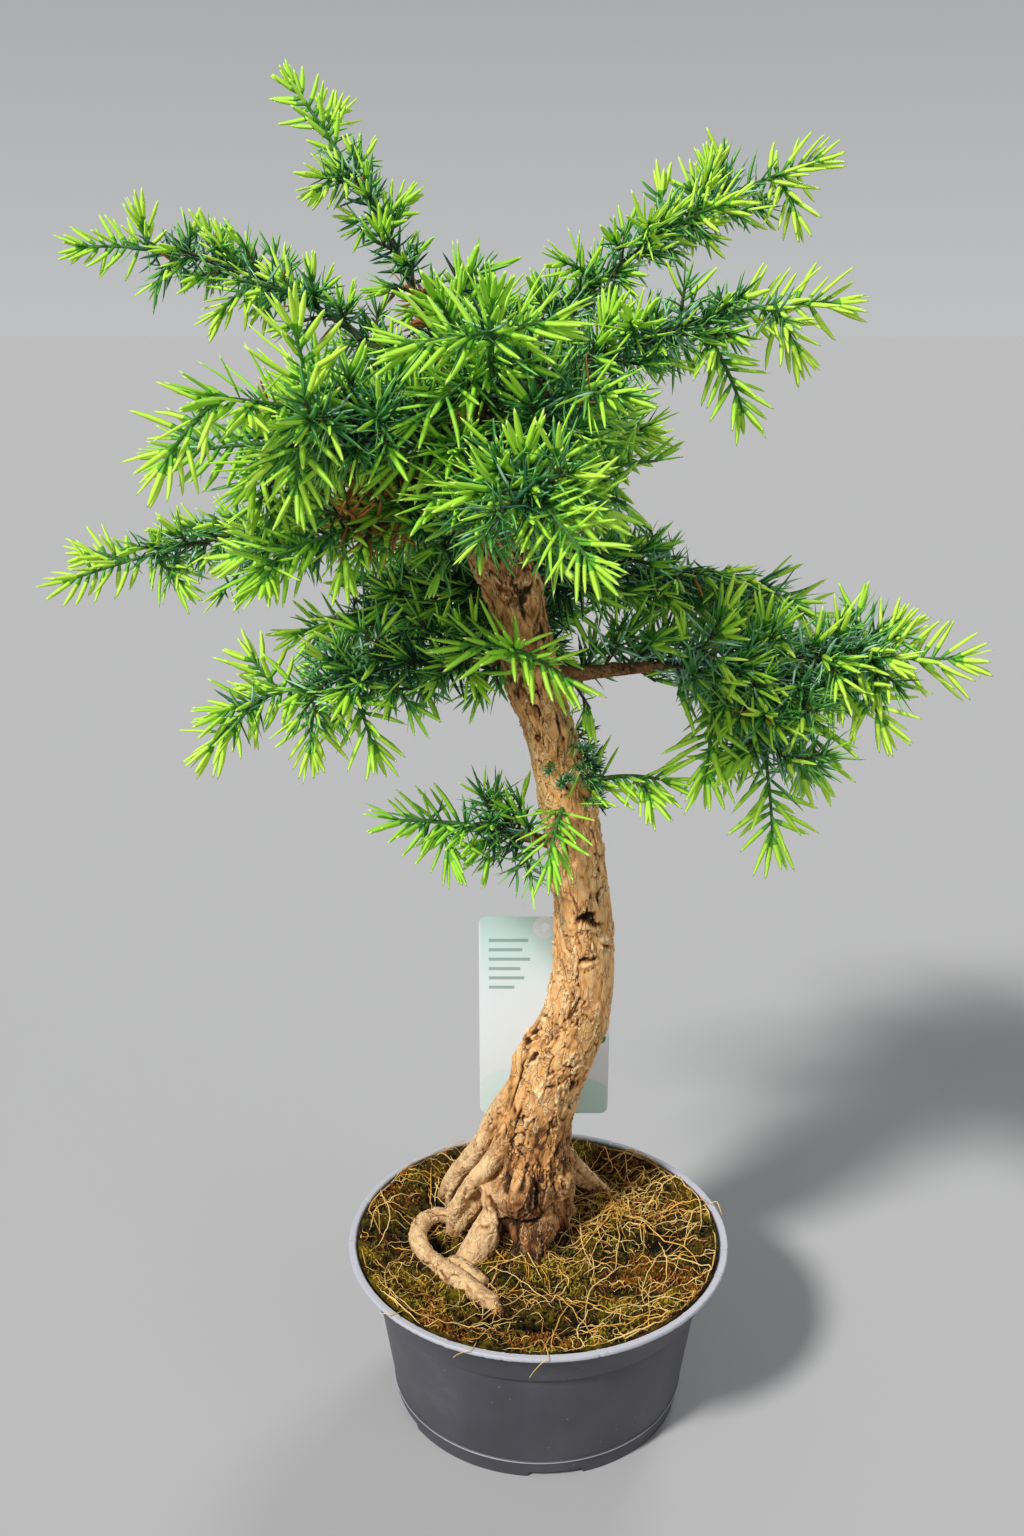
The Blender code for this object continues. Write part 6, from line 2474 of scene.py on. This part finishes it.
@dataclass
class Studio:
    """A plain pale floor, soft lights and the photograph's camera."""

    floor_side: float = 80.0
    camera_place: tuple[float, float, float] = (-0.0131, -0.6367, 0.5264)
    camera_drop: float = 17.17
    lens: float = 34.31
    sensor: float = 36.0
    horizon: Color = (0.521, 0.526, 0.531)
    zenith: Color = (0.180, 0.188, 0.200)
    zenith_height: float = 0.55

    @staticmethod
    def lamp(name: str, toward: tuple[float, float, float], strength: float, softness: float,
             color: Color) -> None:
        """Adds a soft distant lamp.

        Args:
            name: Its name.
            toward: The way from the plant to it.
            strength: Its strength.
            softness: How wide it looks from the plant, in degrees.
            color: Its colour.
        """
        lamp = bpy.data.lights.new(name, "SUN")
        lamp.energy = strength
        lamp.color = color
        lamp.angle = math.radians(softness)
        holder = bpy.data.objects.new(name, lamp)
        x, y, z = toward
        holder.rotation_euler = (math.atan2(math.hypot(x, y), z), 0.0, math.atan2(y, x) + math.pi / 2)
        bpy.context.scene.collection.objects.link(holder)

    def build_sky(self) -> None:
        """Makes a plain backdrop that is as bright as the floor where the two meet."""
        world = bpy.data.worlds.new("studio")
        bpy.context.scene.world = world
        world.use_nodes = True
        nodes = world.node_tree.nodes
        links = world.node_tree.links
        place = nodes.new("ShaderNodeTexCoord")
        split = nodes.new("ShaderNodeSeparateXYZ")
        ramp = nodes.new("ShaderNodeValToRGB")
        ramp.color_ramp.elements[0].color = (*self.horizon, 1.0)
        ramp.color_ramp.elements[1].color = (*self.zenith, 1.0)
        ramp.color_ramp.elements[1].position = self.zenith_height
        links.new(place.outputs["Generated"], split.inputs[0])
        links.new(split.outputs[2], ramp.inputs[0])
        links.new(ramp.outputs[0], nodes["Background"].inputs["Color"])

    def build(self) -> None:
        """Makes the floor, the backdrop, the lamps and the camera."""
        half = self.floor_side / 2
        corners = np.array([(-half, -half, 0.0), (half, -half, 0.0), (half, half, 0.0), (-half, half, 0.0)])
        shape = Shape()
        shape.add(corners, ((np.array([[0, 1, 2, 3]]), 0),))
        shape.build("floor", [FloorPaint().material()], smooth=False)
        self.build_sky()
        self.lamp("key", (-0.74, -0.72, 0.92), 3.3, 9.0, (1.0, 0.990, 0.965))
        self.lamp("fill", (0.9, -0.8, 0.55), 0.30, 40.0, (0.95, 0.975, 1.0))
        self.lamp("rim", (0.5, 1.0, 0.75), 0.9, 20.0, (1.0, 1.0, 1.0))
        bpy.context.scene.view_settings.view_transform = "Standard"
        data = bpy.data.cameras.new("camera")
        data.sensor_fit = "VERTICAL"
        data.sensor_height = self.sensor
        data.lens = self.lens
        data.clip_start = 0.01
        camera = bpy.data.objects.new("camera", data)
        camera.location = self.camera_place
        camera.rotation_euler = (math.radians(90.0 - self.camera_drop), 0.0, 0.0)
        bpy.context.scene.collection.objects.link(camera)
        bpy.context.scene.camera = camera


def write_sizes() -> None:
    """Brings the view layer up to date."""
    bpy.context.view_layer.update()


def main() -> None:
    """Builds each sub-assembly in order."""
    logging.basicConfig(level=logging.INFO, format="%(name)s: %(message)s")
    Studio().build()
    Pot().build()
    SoilBed().build()
    Label().dress()
    Trunk().build()
    Crown().build()
    write_sizes()


if __name__ == "__main__":
    main()
